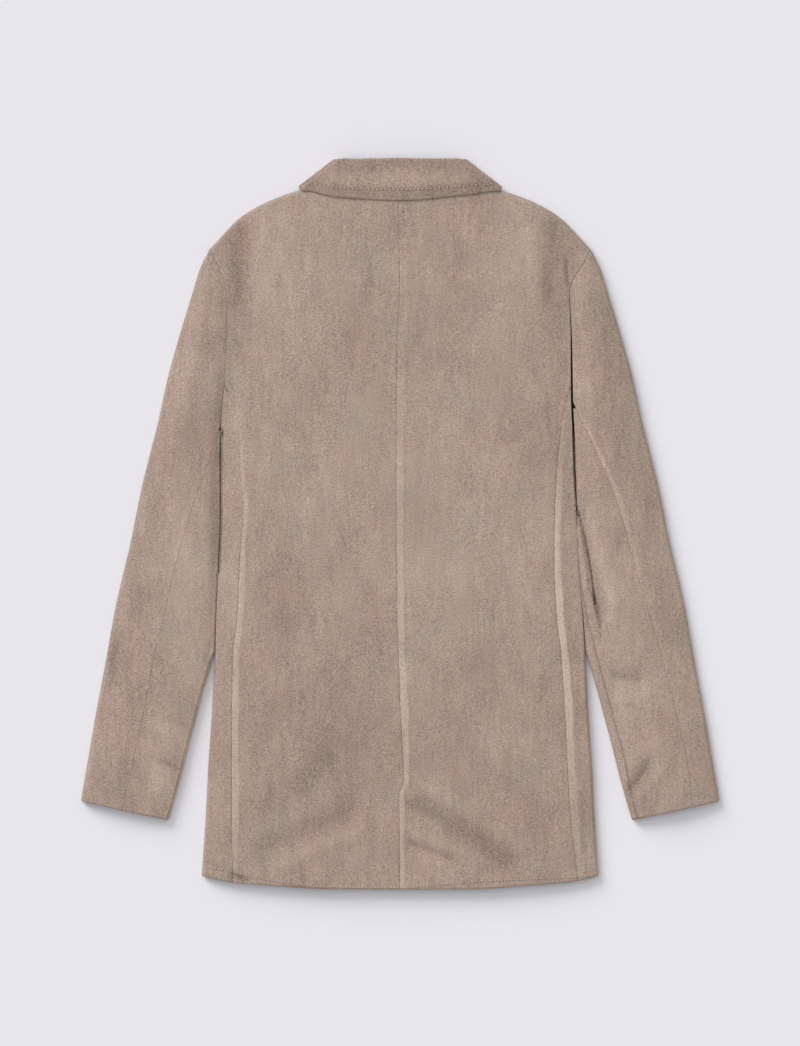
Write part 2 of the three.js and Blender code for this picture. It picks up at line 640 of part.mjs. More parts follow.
// A point of the collar band. along runs from the left leaf's end at -3 to the start of its side turn at -2, the
// back from -1 to 1, and the right side the same. up runs from the free edge at 0 to the roll at 1. depth is how
// far the point lies inside the outer face, and out how far it is pushed past the cross line's end.
function collarPoint(along, up, depth, out) {
  const side = Math.sign(along) || 1;
  const share = Math.min(1, Math.abs(along));
  const turned = clamp(Math.abs(along) - 1, 0, 1);
  const leaf = clamp(Math.abs(along) - 2, 0, 1);
  const swing = Math.sin(Math.PI * turned);
  const slant = { x: -COLLAR_SLANT.y * share ** 2, y: 0 };
  slant.y = Math.sqrt(1 - slant.x ** 2);
  const foot = { x: COLLAR_FOOT_X * share, y: 0 };
  foot.y = readTable(COLLAR_FREE_EDGE, 'x', 'y', side * foot.x);
  const head = { x: COLLAR_ROLL_X * share, y: COLLAR_TOP_Y - COLLAR_ROLL * slant.y };
  const flat = { x: blend(foot.x, head.x, up), y: blend(foot.y, head.y, up) };
  const top = bodyHeight(side, flat.x, flat.y) + COLLAR_OVER_BACK;
  const headEnd = { x: head.x - slant.x * COLLAR_TRIM * swing, y: head.y - slant.y * COLLAR_TRIM * swing };
  const from = { x: blend(foot.x, LEAF_FREE_CORNER.x, leaf), y: blend(foot.y, LEAF_FREE_CORNER.y, leaf) };
  const to = { x: blend(headEnd.x, LEAF_ROLL_CORNER.x, leaf), y: blend(headEnd.y, LEAF_ROLL_CORNER.y, leaf) };
  const fold = (COLLAR_SIDE_FOLD - depth) * swing;
  const cross = new THREE.Vector2(to.x - from.x, to.y - from.y).normalize();
  const x = blend(from.x, to.x, up) + COLLAR_SLANT.x * fold + cross.x * out;
  const y = blend(from.y, to.y, up) + COLLAR_SLANT.y * fold + cross.y * out;
  const z = depth + ((top - 2 * depth) * (1 + Math.cos(Math.PI * turned))) / 2;
  return new THREE.Vector3(side * x, y, z);
}

// The fall of the collar with its roll: up runs past 1 round the roll to the inner limb
function fallPoint(along, up, depth) {
  if (up <= 1) return collarPoint(along, up, depth, 0);
  const angle = Math.PI * 0.95 * (up - 1);
  const radius = COLLAR_ROLL - depth;
  return collarPoint(along, 1, COLLAR_ROLL - radius * Math.cos(angle), radius * Math.sin(angle));
}

// Building the pieces

const MARGIN_SHARES = [0, 0.008, 0.038, 0.046];
const MARGIN_RELIEF = [0, RIDGE_HEIGHT, RIDGE_HEIGHT, 0];
const CURL = [TOP_ROW + 0.33, TOP_ROW + 0.66, TOP_ROW + 1];
const CURLED_ROWS = [...BODY_ROWS, ...CURL];
const ARMHOLE_TOP = {
  left: columnTop(BACK_TOP, (y) => edgeAt(-1, y) - SEAM_GAP / 2),
  right: columnTop(BACK_TOP, (y) => edgeAt(1, y) - SEAM_GAP / 2),
};
const SIDE_COLUMNS = [-2, -1.94, -1.66, -1.6, -1.3, -1, -0.75, -0.5, -0.25, 0, 0.25, 0.5, 0.75, 1, 1.4, 1.7, 2];

function buildBack(side) {
  const middle = evenly(MARGIN_SHARES[3], 1 - MARGIN_SHARES[3], 7).slice(1, -1);
  const mirrored = MARGIN_SHARES.map((share) => 1 - share).reverse();
  const columns = [...MARGIN_SHARES, ...middle, ...mirrored];
  const plain = MARGIN_RELIEF.map(() => 0);
  const inner = side > 0 ? MARGIN_RELIEF : plain;
  const outer = side < 0 ? MARGIN_RELIEF : plain;
  const heights = [...inner, ...middle.map(() => 0), ...outer];
  const reliefs = (index) => heights[index];
  const surface = (c, r) => backSurface(side, c, r);
  return clothPanel(`back_${sideName(side)}`, columns, CURLED_ROWS, surface, side, reliefs);
}

function buildSide(side) {
  const share = side > 0 ? 1 : 0;
  const fade = (row) => smooth((RIDGE_TOP - row) / RIDGE_FADE);
  const reliefs = (index, row) => share * (MARGIN_RELIEF[index] || 0) * fade(row);
  const rows = BODY_ROWS.filter((row) => row <= ARMHOLE_Y);
  const surface = (c, r) => sideSurface(side, c, r);
  return clothPanel(`side_${sideName(side)}`, SIDE_COLUMNS, rows, surface, side, reliefs);
}

function buildFront(side) {
  const surface = (c, r) => frontSurface(side, c, r);
  return clothPanel(`front_${sideName(side)}`, evenly(0, 1, 7), CURLED_ROWS, surface, side);
}

function buildTopSleeve(side) {
  const margin = [0, 0.04, 0.25, SEAM_STAGE];
  const top = evenly(SEAM_STAGE, 1, 3).slice(1);
  const fold = evenly(1, 2, 5).slice(1);
  const underneath = [...evenly(2, 3, 2).slice(1), ...evenly(3, 4, 5).slice(1)];
  const columns = [...margin, ...top, ...fold, ...underneath];
  const ridgeTop = UNDER_SLEEVE_TOP[sideName(side)];
  const reliefs = (index, row) => (MARGIN_RELIEF[index] || 0) * smooth((ridgeTop - row) / RIDGE_FADE);
  const surface = (c, r) => topSleeveSurface(side, c, r);
  return clothPanel(`sleeve_top_${sideName(side)}`, columns, [...SLEEVE_ROWS, ...CURL], surface, side, reliefs);
}

function buildUnderSleeve(side) {
  const columns = [...evenly(0, INNER_STAGE, 4), ...evenly(INNER_STAGE, 1, 4).slice(1)];
  const rows = SLEEVE_ROWS.filter((row) => row <= UNDER_SLEEVE_TOP[sideName(side)]);
  const surface = (c, r) => underSleeveSurface(side, c, r);
  return clothPanel(`sleeve_under_${sideName(side)}`, columns, rows, surface, side);
}

const COLLAR_COLUMNS = [
  ...evenly(-3, -2, 3),
  ...evenly(-2, -1, 6).slice(1),
  ...evenly(-1, 1, 12).slice(1),
  ...evenly(1, 2, 6).slice(1),
  ...evenly(2, 3, 3).slice(1),
];

function buildCollarFall() {
  const rows = [...evenly(0, 1, 4), ...evenly(1, 2, 5).slice(1)];
  const outer = (along, up) => fallPoint(along, up, 0);
  const inner = (along, up) => fallPoint(along, up, COLLAR_WALL);
  return suedeMesh('collar_fall', wallSolid(COLLAR_COLUMNS, rows, outer, inner, false));
}

function buildCollarStand() {
  const rows = evenly(STAND_FROM, STAND_TO, 3);
  const outer = (along, up) => collarPoint(along, up, STAND_DEPTH, 0);
  const inner = (along, up) => collarPoint(along, up, STAND_DEPTH + CLOTH_WALL, 0);
  return suedeMesh('collar_stand', wallSolid(COLLAR_COLUMNS, rows, outer, inner, false));
}

const jacket = new THREE.Group();
jacket.name = 'suede_jacket';
for (const side of [-1, 1]) {
  for (const build of [buildBack, buildSide, buildFront, buildTopSleeve, buildUnderSleeve]) {
    jacket.add(build(side));
  }
}
jacket.add(buildCollarFall(), buildCollarStand());

export default jacket;
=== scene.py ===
"""Looks of a suede jacket that lies flat on its front, with its back up.

Sizes below are millimetres unless they say otherwise: +X to the right as seen from above, +Y towards the
collar, +Z up. A side value of -1 is the left of the jacket as seen, and +1 the right; x is measured
outwards on each side.
"""

import json

import bpy
import numpy as np
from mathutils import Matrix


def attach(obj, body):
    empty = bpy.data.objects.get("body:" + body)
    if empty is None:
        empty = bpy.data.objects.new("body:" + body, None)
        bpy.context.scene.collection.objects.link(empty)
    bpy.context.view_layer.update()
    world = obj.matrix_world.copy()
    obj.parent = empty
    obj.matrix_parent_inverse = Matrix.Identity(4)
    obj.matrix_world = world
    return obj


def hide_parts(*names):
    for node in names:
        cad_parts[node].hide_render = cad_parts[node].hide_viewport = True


bl_info = {
    "name": "Suede Jacket",
    "version": (1, 0, 0),
    "blender": (4, 5, 0),
    "location": "3D View > Sidebar > Jacket",
    "description": "Makes the cloth, stitching and stage of a suede jacket laid flat",
    "category": "Object",
}

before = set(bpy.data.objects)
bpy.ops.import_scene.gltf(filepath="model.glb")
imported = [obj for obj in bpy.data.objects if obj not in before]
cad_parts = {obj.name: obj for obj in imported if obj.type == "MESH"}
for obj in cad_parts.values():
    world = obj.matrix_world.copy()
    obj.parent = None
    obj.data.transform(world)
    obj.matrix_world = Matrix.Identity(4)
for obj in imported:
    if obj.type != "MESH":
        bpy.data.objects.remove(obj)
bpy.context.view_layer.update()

MM = 0.001

# Thickness of the cloth and the gap left at every seam, which is closer here than between the solids
CLOTH_WALL = 1.5
COLLAR_WALL = 2.2
SEAM_GAP = 0.06

# How far the folded edges round inwards, seen from above
BODY_SIDE_FOLD = 4
SLEEVE_OUTER_FOLD = 5
SHOULDER_FOLD = 4.5
SHOULDER_SEAM_ANGLE = 0.08
COLLAR_SIDE_FOLD = 6
COLLAR_ROLL = 2.6

# Where the armhole closes under the arm, and how far above that its edge begins to dip
UNDERARM_Y = 60
UNDERARM_DIP = 50
ARMHOLE_Y = 146

# The fronts lie over each other at the centre
FRONT_OVERLAP = 45
LAP_LIFT = 2.9
LAP_FROM = 105
LAP_RAMP = 35

# How far from a folded edge the loft reaches its full height, and how far from it folds fade in
SIDE_LOFT_REACH = 95
SHOULDER_LOFT_REACH = 85
FOLD_EASE = 20
SLEEVE_EASE = 0.1

# Steps of the grids that follow a seam, and the arc of a side fold for each radian of its turn
SEAM_STAGE = 0.3
INNER_STAGE = 0.35
SIDE_FOLD_ARC = 4.8
SIDE_POINT_Y = 64
RIDGE_MARGIN = 9.4

# Rows are y values up to the armhole; above it the last value stands for the upper end of each column
LOWEST_ROW = -384
HEM_ROW = -340
TOP_ROW = 352
UNDER_SLEEVE_TOP = {"left": 98, "right": 121}

# The collar's corners
COLLAR_TOP_Y = 384
COLLAR_FOOT_X = 101.5
COLLAR_ROLL_X = 61.4
COLLAR_SLANT = (0.637, 0.771)
COLLAR_TRIM = 7.4
LEAF_FREE_CORNER = (58, 262)
LEAF_ROLL_CORNER = (20, 296)
COLLAR_OVER_BACK = COLLAR_WALL + 1.1
LEAF_LIFT = COLLAR_WALL + 0.6
LEAF_RAMP = 24
STAND_DEPTH = 3.7
STAND_FROM = 0.34
STAND_TO = 0.95


class Table:
    """Rows of numbers with named columns. Reading a column gives the smooth curve through its rows, a cubic
    whose slope at each row is the harmonic mean of the slopes beside it, so that it never overshoots."""

    def __init__(self, columns, rows):
        self.values = dict(zip(columns, np.array(rows, float).T))
        self.key = columns[0]

    def read(self, column, at):
        keys, values = self.values[self.key], self.values[column]
        secant = np.diff(values) / np.diff(keys)
        before, after = secant[:-1], secant[1:]
        level = before * after <= 0
        mean = 2 * before * after / np.where(level, 1, before + after)
        slope = np.concatenate([secant[:1], np.where(level, 0, mean), secant[-1:]])
        i = np.clip(np.searchsorted(keys, at) - 1, 0, len(keys) - 2)
        span = keys[i + 1] - keys[i]
        t = np.clip((at - keys[i]) / span, 0, 1)
        start = values[i] * (1 + 2 * t) * (1 - t) ** 2 + slope[i] * span * t * (1 - t) ** 2
        return start + values[i + 1] * t * t * (3 - 2 * t) + slope[i + 1] * span * t * t * (t - 1)


# Lines of the body from hem to neck: half widths to the folded edge and to the side-back seams, the
# centre-back seam, and the heights of the top surface at the edge and in the middle
BODY = Table(
    ["y", "left_edge", "left_seam", "centre", "right_seam", "right_edge", "edge_height", "middle_height"],
    [
        [-384, 209.5, 176.0, -0.4, 187.5, 209.5, 8.5, 12.5],
        [-369, 208.6, 176.0, -0.5, 186.2, 208.6, 8.6, 12.8],
        [-324, 205.4, 177.1, -0.8, 180.6, 205.4, 9.0, 14.0],
        [-286, 203.2, 177.2, -1.3, 177.3, 203.2, 9.4, 15.0],
        [-270, 202.6, 177.2, 3.6, 176.4, 202.6, 9.6, 15.3],
        [-200, 198.0, 177.0, 0.4, 173.0, 198.0, 10.0, 16.2],
        [-133, 194.5, 175.7, -2.0, 168.6, 194.5, 10.0, 16.8],
        [-100, 193.7, 171.4, -3.2, 164.2, 192.2, 10.0, 17.0],
        [-37, 190.5, 168.5, -3.7, 161.5, 187.3, 10.0, 17.2],
        [16, 188.7, 165.0, -4.0, 162.5, 185.3, 10.2, 17.2],
        [60, 188.9, 168.6, -3.9, 165.0, 183.2, 10.8, 17.2],
        [103, 188.4, 170.0, -3.7, 169.5, 181.6, 11.8, 17.0],
        [130, 186.4, 177.0, -3.6, 174.8, 180.4, 12.6, 17.0],
        [146, 184.4, 184.4, -3.5, 180.2, 180.2, 13.0, 16.8],
        [193, 182.4, 182.4, -3.0, 179.7, 179.7, 13.2, 16.5],
        [235, 182.0, 182.0, -1.0, 178.2, 178.2, 13.0, 16.2],
        [246, 182.8, 182.8, -0.7, 177.8, 177.8, 12.6, 16.1],
        [254, 184.2, 184.2, -0.6, 180.4, 180.4, 12.3, 16.0],
        [264, 188.0, 188.0, -0.6, 186.1, 186.1, 11.7, 15.6],
        [273, 192.0, 192.0, -0.7, 192.7, 192.7, 11.3, 15.3],
        [288, 199.0, 199.0, -1.0, 199.6, 199.6, 10.4, 15.0],
        [292, 200.9, 200.9, -1.1, 201.4, 201.4, 10.4, 15.0],
        [384, 201.5, 201.5, -2.3, 202.0, 202.0, 10.6, 14.5],
    ],
)

# The hem from the centre outwards
HEM = Table(
    ["x", "y"],
    [[0, -384.0], [80, -383.5], [126, -380.5], [173, -377.0], [199, -372.5], [209, -369.0]],
)

# Upper boundary of the backs from the centre outwards. rim is the line that the loft falls to, and turn the
# share of the quarter turn that the cloth makes over the shoulder.
BACK_TOP = Table(
    ["x", "y", "rim", "turn"],
    [
        [0, 352.0, 470, 0.12],
        [60, 354.0, 430, 0.12],
        [80, 357.0, 392, 0.12],
        [90, 355.6, 368, 0.5],
        [98, 353.2, 356, 1],
        [106, 350.6, 350.6, 1],
        [118, 346.9, 346.9, 1],
        [143, 337.0, 337, 1],
        [168, 322.0, 322, 1],
        [187, 303.0, 303, 1],
        [201, 287.5, 287.5, 1],
    ],
)

# Upper boundary of the fronts, from the overlapped edge past the centre to the shoulder
FRONT_TOP = Table(
    ["x", "y", "turn"],
    [
        [-45, 228.0, 0.12],
        [0, 248.0, 0.12],
        [46, 262.0, 0.12],
        [70, 310.0, 0.12],
        [88, 346.0, 0.12],
        [98, 353.2, 1],
        [106, 350.6, 1],
        [118, 346.9, 1],
        [143, 337.0, 1],
        [168, 322.0, 1],
        [187, 303.0, 1],
        [201, 287.5, 1],
    ],
)

# Seam between side panel and front, on the underside: how far it lies inside the folded edge
FRONT_SEAM = Table(
    ["y", "inset"],
    [[-384, 87], [-200, 80], [-50, 68], [16, 56], [60, 41], [98, 22], [121, 11], [146, 0]],
)

# Where the fronts start to rise over the collar leaves
LIFT_START = Table(["x", "y"], [[-45, 236], [70, 236], [102, 288], [150, 388]])

# Sleeve rows from the cuff to the head, each a straight line across from the inner edge to the outer fold
SLEEVE = Table(
    ["inner_y", "outer_y", "outer_x", "inner_height", "outer_height", "crown"],
    [
        [-311.5, -291.5, 335.8, 9.0, 9.0, 12.5],
        [-267.0, -248.6, 328.3, 9.3, 9.3, 13.8],
        [-220.0, -203.0, 320.5, 9.5, 9.5, 14.6],
        [-166.0, -150.0, 310.5, 9.5, 9.5, 15.0],
        [-95.0, -82.0, 298.0, 9.6, 9.6, 15.2],
        [-29.0, -18.0, 283.0, 10.0, 9.8, 15.4],
        [30.0, 39.0, 271.5, 10.4, 10.0, 15.6],
        [59.0, 67.0, 264.6, 10.8, 10.0, 15.8],
        [100.0, 107.0, 254.4, 11.7, 10.0, 16.0],
        [146.0, 152.0, 244.6, 13.0, 10.0, 16.0],
        [196.0, 201.0, 231.0, 13.2, 10.0, 15.6],
        [237.0, 241.0, 218.8, 13.0, 10.0, 14.0],
        [266.0, 268.0, 210.4, 11.7, 10.0, 11.8],
        [277.0, 277.5, 206.2, 11.0, 10.0, 11.0],
        [288.6, 283.2, 202.9, 10.4, 10.0, 10.2],
    ],
)

# Inner edge of the sleeve below the place where it leaves the body
SLEEVE_INNER = Table(
    ["y", "x"],
    [[-311.5, 243.7], [-267, 231.0], [-231, 222.0], [-208.5, 216.0], [-171, 206.0], [-133, 194.65]],
)

# Back seams of the sleeves, and how far the inner seams lie inside the inner edge
SLEEVE_SEAMS = Table(
    ["y", "left_back", "right_back", "left_inner", "right_inner"],
    [
        [-312, 293.5, 308.6, 1.5, 6.5],
        [-299, 291.3, 307.4, 1.5, 7.0],
        [-248.6, 280.0, 301.6, 2.0, 10.0],
        [-189, 267.2, 287.6, 2.0, 9.5],
        [-132, 256.4, 273.0, 1.2, 10.5],
        [-101.5, 248.6, 263.8, 0.8, 5.0],
        [-56, 238.6, 250.0, 0.5, 1.0],
        [-2, 223.7, 235.2, 0.2, 0.2],
        [27, 214.4, 226.0, 0.1, 0.1],
        [56, 204.4, 214.0, 0.0, 0.0],
        [100, 189.6, 194.0, 0.0, 0.0],
        [127, 180.0, 181.0, 0.0, 0.0],
        [160, 170.0, 170.0, 0.0, 0.0],
    ],
)

# Free edge of the collar on the back
COLLAR_FREE_EDGE = Table(["x", "y"], [[-101.5, 351.6], [-65, 343.0], [0, 339.6], [74, 346.0], [101.5, 351.2]])

# How far the folded sides of body and sleeve round inwards: less where the two press on each other
FOLD_WIDTH = Table(
    ["y", "left", "right"],
    [[-384, 4.0, 4.0], [-150, 4.0, 4.0], [-124, 1.6, 1.6], [-60, 0.5, 0.6], [60, 0.4, 0.6]],
)

# How far the sleeve and the body part from each other: on the right they show a dark opening
PARTING = Table(
    ["y", "left", "right"],
    [
        [-60, 0.0, 0.0],
        [14, 0.0, 0.0],
        [26, 0.0, 0.6],
        [44, 0.0, 1.7],
        [80, 0.0, 2.1],
        [130, 0.0, 2.0],
        [175, 0.0, 1.6],
        [200, 0.0, 1.1],
        [222, 0.0, 0.5],
        [244, 0.0, 0.15],
        [290, 0.0, 0.15],
    ],
)

# How far from the edge the cloth still gives way, and the height above which it does, with a ramp
PARTING_REACH = 9
UNDERSIDE_TOP = 2.4
PARTING_RAMP = 4

# Pressed seam allowances beside the seams: how strongly they show, and how wide they are
CENTRE_RIDGE = Table(
    ["y", "share", "width"],
    [
        [-384, 0.85, 6.0],
        [-290, 0.9, 5.8],
        [-276, 1.0, 5.2],
        [-262, 1.1, 6.8],
        [-200, 1.1, 8.2],
        [-120, 0.95, 7.6],
        [0, 0.75, 7.4],
        [100, 0.5, 8.0],
        [180, 0.3, 9.0],
        [240, 0.12, 9.5],
        [352, 0.03, 9.0],
    ],
)
LEFT_RIDGE = Table(
    ["y", "share", "width"],
    [
        [-384, 0.25, 6.0],
        [-340, 0.6, 6.5],
        [-300, 1.0, 8.0],
        [-200, 1.1, 7.8],
        [-100, 1.0, 7.2],
        [-40, 0.95, 6.4],
        [20, 0.75, 5.4],
        [80, 0.45, 4.8],
        [135, 0.0, 4.0],
    ],
)
RIGHT_RIDGE = Table(
    ["y", "share", "width"],
    [
        [-384, 0.2, 8.0],
        [-330, 0.35, 8.0],
        [-250, 0.6, 8.5],
        [-180, 0.9, 8.5],
        [-120, 1.1, 8.0],
        [-60, 1.0, 7.5],
        [0, 0.8, 7.0],
        [60, 0.5, 6.5],
        [110, 0.3, 6.0],
        [131, 0.05, 5.0],
    ],
)
SLEEVE_RIDGE = Table(
    ["y", "left", "right", "width"],
    [
        [-312, 0.1, 0.1, 5.0],
        [-80, 0.15, 0.15, 5.0],
        [-30, 0.2, 0.35, 5.5],
        [0, 0.25, 0.95, 6.0],
        [60, 0.2, 1.0, 6.0],
        [105, 0.0, 0.5, 5.0],
        [118, 0.0, 0.0, 4.0],
    ],
)

# How much paler the ridges are at full strength, on which side panel one lies, and the tone of the collar
CENTRE_RIDGE_TONE = 0.27
LEFT_RIDGE_TONE = 0.25
RIGHT_RIDGE_TONE = 0.5
SLEEVE_RIDGE_TONE = 0.24
RIDGE_ON_SIDE = {-1: 0.0, 1: 1.0}
COLLAR_TONE = -0.14
# Painted shade of the inner faces of all the cloth, nearly black, as the shade inside the layers that shows
# through the openings
INSIDE_PAINTED_SHADE = -0.93

# How deep the cloth dips at its seams and at hem and cuffs, and how much painted shade darkens the cloth in
# the seam dips
SEAM_DEPTH = 0.3
BACK_SEAM_DEPTH = 0.15
EDGE_DEPTH = 0.8
SEAM_TONE = 0.1
CENTRE_SEAM_TONE = 0.06
BACK_SEAM_TONE = 0.05
INNER_SEAM_TONE = 0.08

# Above this the relief of the side panels fades out, so that they meet the armhole cleanly
SIDE_RELIEF_TOP = 144

# Stitched row along the hem
HEM_STITCHES = Table(
    ["x", "y"],
    [
        [-203, -361.0],
        [-179, -365.1],
        [-159, -369.7],
        [-135, -374.9],
        [-113, -378.5],
        [-82, -381.2],
        [-36, -382.2],
        [3, -382.2],
        [43, -379.0],
        [91, -375.2],
        [139, -373.0],
        [186, -371.2],
        [203, -369.0],
    ],
)
HEM_PITCH = 3.4
HEM_STITCH = {"length": 3.3, "radius": 0.46, "raised": 0.12}

# Stitched row along the collar's free edge: how far inside the edge it runs, and from where to where along x
COLLAR_PITCH = 4.3
COLLAR_STITCH = {"length": 4.1, "radius": 0.52, "raised": 0.1}
COLLAR_STITCH_INSET = 11.0
COLLAR_STITCH_SPAN = (-92, 97)

# Places that are painted paler or darker: centre, reach across and along, and the change of lightness. Some
# are painted shade in hollows, a valley and a pucker, and painted light on the swells and edges beside them;
# the others are paler or darker places of the cloth.
PATCH_COLUMNS = ["x", "y", "reach_x", "reach_y", "tone"]
SHADE_AND_TONE_PATCHES = {
    # Painted shade in the two shoulder hollows
    "left shoulder": [-172, 262, 20, 52, -0.1],
    "right shoulder": [164, 262, 20, 58, -0.16],
    # Painted light on the swells beside the shoulder hollows
    "left shoulder blade": [-138, 275, 14, 30, 0.05],
    "right shoulder blade": [138, 270, 13, 34, 0.04],
    "middle of the left back": [-80, 0, 75, 105, 0.07],
    "middle of the right back": [88, 0, 66, 100, 0.08],
    "pale place on the right back": [77, 25, 26, 16, 0.09],
    "lower left back": [-80, -255, 95, 85, -0.07],
    "lower right back": [90, -265, 75, 75, -0.04],
    "band above the hem": [70, -330, 60, 14, -0.05],
    "inner half of the left sleeve": [-222, -100, 22, 88, 0.25],
    "outer half of the left sleeve": [-290, -205, 20, 90, -0.06],
    "left upper sleeve": [-214, 190, 14, 50, -0.05],
    "left cuff by its edge": [-254, -266, 12, 20, 0.28],
    "left cuff, second place": [-263, -240, 10, 14, 0.18],
    "left forearm": [-250, -212, 12, 20, 0.14],
    "right cuff by its edge": [250, -274, 10, 18, -0.14],
    "right forearm": [262, -235, 12, 30, 0.05],
    "right sleeve by the armhole": [212, 120, 14, 70, -0.04],
    "left side panel": [-186, -190, 10, 110, -0.03],
    "right side panel": [190, -230, 9, 110, -0.06],
    # Painted shade at the hem pucker at the foot of the left side
    "foot of the left side": [-171, -370, 10, 4, -0.26],
    # Painted shade in the valley between the left sleeve and the body, and painted light on the body's edge
    # beside it
    "left sleeve by the body": [-199, 60, 7, 110, -0.1],
    "left body edge by the sleeve": [-184, 40, 4, 90, 0.06],
    "left shoulder seam": [-190, 240, 9, 30, 0.05],
}

# Folds of the top surface. Each runs from one end to the other with a sideways bow, and its height falls
# off across its width and towards its ends; a trough is negative. FOLDS are those of the solids, and
# FINE_FOLDS the creases that only the cloth has.
FOLD_COLUMNS = ["x0", "y0", "x1", "y1", "bow", "width", "height"]
FOLDS = {
    "left shoulder hollow": [-166, 304, -172, 232, 0, 26, -2.2],
    "right shoulder hollow": [160, 312, 163, 240, 0, 24, -2.0],
    "left shoulder blade": [-120, 250, -128, 120, 0, 60, 0.9],
    "right shoulder blade": [112, 255, 124, 130, 0, 60, 0.9],
    "waist on the left": [-140, 30, -120, -110, 0, 46, -0.9],
    "waist on the right": [128, 20, 116, -120, 0, 46, -0.9],
    "right sleeve pinch": [190, 6, 212, -92, 0, 13, -2.0],
    "right sleeve pinch ridge": [201, 8, 222, -84, 0, 16, 1.2],
    "right elbow": [229, -162, 248, -160, 0, 18, -1.4],
    "right cuff": [240, -278, 262, -252, 0, 14, -1.4],
    "left elbow": [-296, -125, -302, -166, 0, 20, -1.3],
    "left cuff": [-236, -262, -262, -248, 0, 16, -1.2],
    "hem on the right": [12, -338, 58, -355, 0, 16, -1.2],
}
FINE_FOLDS = {
    "hem crease on the right": [12, -335, 54, -352, 0, 3.6, -0.7],
    "hem swell on the right": [18, -328, 64, -345, 0, 9, 0.5],
    "drape right of the centre": [16, -296, 112, -354, -2, 20, -1.4],
    "drape right of the centre, swell": [30, -276, 128, -338, -2, 20, 0.9],
    "drape far right": [60, -205, 150, -300, 8, 26, -0.6],
    "drape left of the centre": [-56, -303, -142, -340, 0, 20, -1.1],
    "drape left of the centre, swell": [-40, -322, -128, -360, 0, 16, 0.8],
    "drape far left": [-60, -236, -150, -296, -6, 26, -0.7],
    "long slack on the left back": [-96, 60, -110, -190, 12, 28, -0.4],
    "long slack on the right back": [78, 40, 92, -180, -10, 30, -0.4],
    "pull from the left armhole": [-174, 142, -96, 86, 6, 15, -0.4],
    "pull from the right armhole": [172, 134, 100, 80, -6, 15, -0.4],
    "right shoulder line by the sleeve": [174.6, 279, 177.2, 250, 0.6, 3.4, -1.0],
    "left shoulder swell": [-146, 300, -150, 226, 0, 16, 0.7],
    "right shoulder swell": [139, 305, 142, 236, 0, 15, 0.6],
    "right pinch line": [185.5, 18, 205, -84, -2.4, 2.2, -1.7],
    "right inner swell": [208, -4, 226, -100, -3, 16, 0.9],
    "right sleeve trough": [228, -160, 250, -164, 2, 8, -0.8],
    "right sleeve swell": [232, -184, 262, -178, 2, 12, 0.6],
    "right cuff line": [240, -278, 260, -252, 2, 4.0, -0.6],
    "right cuff swell": [246, -290, 274, -258, 3, 8, 0.5],
    "right sleeve slack": [262, 20, 280, -120, 5, 22, -0.5],
    "right upper sleeve slack": [214, 190, 238, 60, 4, 20, -0.5],
    "left sleeve slack": [-250, 20, -282, -140, 6, 22, -0.5],
    "left upper sleeve slack": [-204, 190, -228, 70, -4, 18, -0.4],
    "left elbow line": [-297, -130, -301, -158, 2, 6, -0.6],
    "left cuff wrinkle": [-233, -258, -252, -250, 1, 4, -0.7],
    "left cuff second wrinkle": [-240, -272, -256, -262, 1, 4, -0.5],
    "left forearm wrinkle": [-222, -214, -244, -206, 1.5, 7, -0.5],
    "left forearm swell": [-226, -228, -252, -218, 2, 9, 0.4],
    "left upper arm line": [-196, 246, -204, 196, 1, 6, -0.5],
    "strip between the pinch and the body": [187.5, -6, 196, -66, 0, 5, 0.9],
    "foot of the right pinch": [203, -74, 210, -108, -1, 4.6, -0.8],
    "second right pinch": [198, -60, 212, -118, -2, 6, -0.9],
    "left valley by the sleeve": [-186, 150, -191, -40, 0, 15, -0.9],
    "left sleeve edge by the valley": [-196, 140, -203, -60, 0, 12, 0.4],
    "hem pucker on the left": [-176, -366, -160, -375, 1, 5, -1.1],
    "hem corner on the left": [-204, -357, -186, -363, 0, 6, -0.6],
}

# Direction towards the lights seen from above: folded edges that face it get painted shade, and the others
# painted light
UPPER_LEFT = (-0.63, 0.77)

# Painted shade in troughs and painted light on swells: change of lightness for each millimetre of a fold's
# height; creases narrower than SHARP_WIDTH get both the fine and the sharp share
FOLD_TONE = 0.05
FINE_FOLD_TONE = 0.13
SHARP_FOLD_TONE = 0.16
SHARP_WIDTH = 5.0

# Slow swells of cloth that isn't pressed: wavelength along x and y, phase and height
SWELL_COLUMNS = ["along_x", "along_y", "phase", "height"]
SWELLS = [
    [138.0, 310.0, 0.4, 0.16],
    [-97.0, 214.0, 2.1, 0.12],
    [61.0, -158.0, 4.0, 0.08],
    [43.0, 121.0, 1.2, 0.05],
    [-29.0, 83.0, 5.3, 0.03],
]


def clamp(value, low, high):
    return np.minimum(high, np.maximum(low, value))


def blend(start, end, share):
    return start + (end - start) * share


def smooth(share):
    t = clamp(share, 0, 1)
    return t * t * (3 - 2 * t)


def domed(share):
    t = clamp(share, 0, 1)
    return 1 - (1 - t) * (1 - t)


def side_name(side):
    return "left" if side < 0 else "right"


def edge_at(side, y):
    return BODY.read(f"{side_name(side)}_edge", y)


def parting(side, y):
    return PARTING.read(side_name(side), y)


def side_fold(side, y):
    return FOLD_WIDTH.read(side_name(side), y)


def side_seam_at(side, y):
    """Side-back seam, and above it the back's edge on the armhole."""
    return BODY.read(f"{side_name(side)}_seam", y)


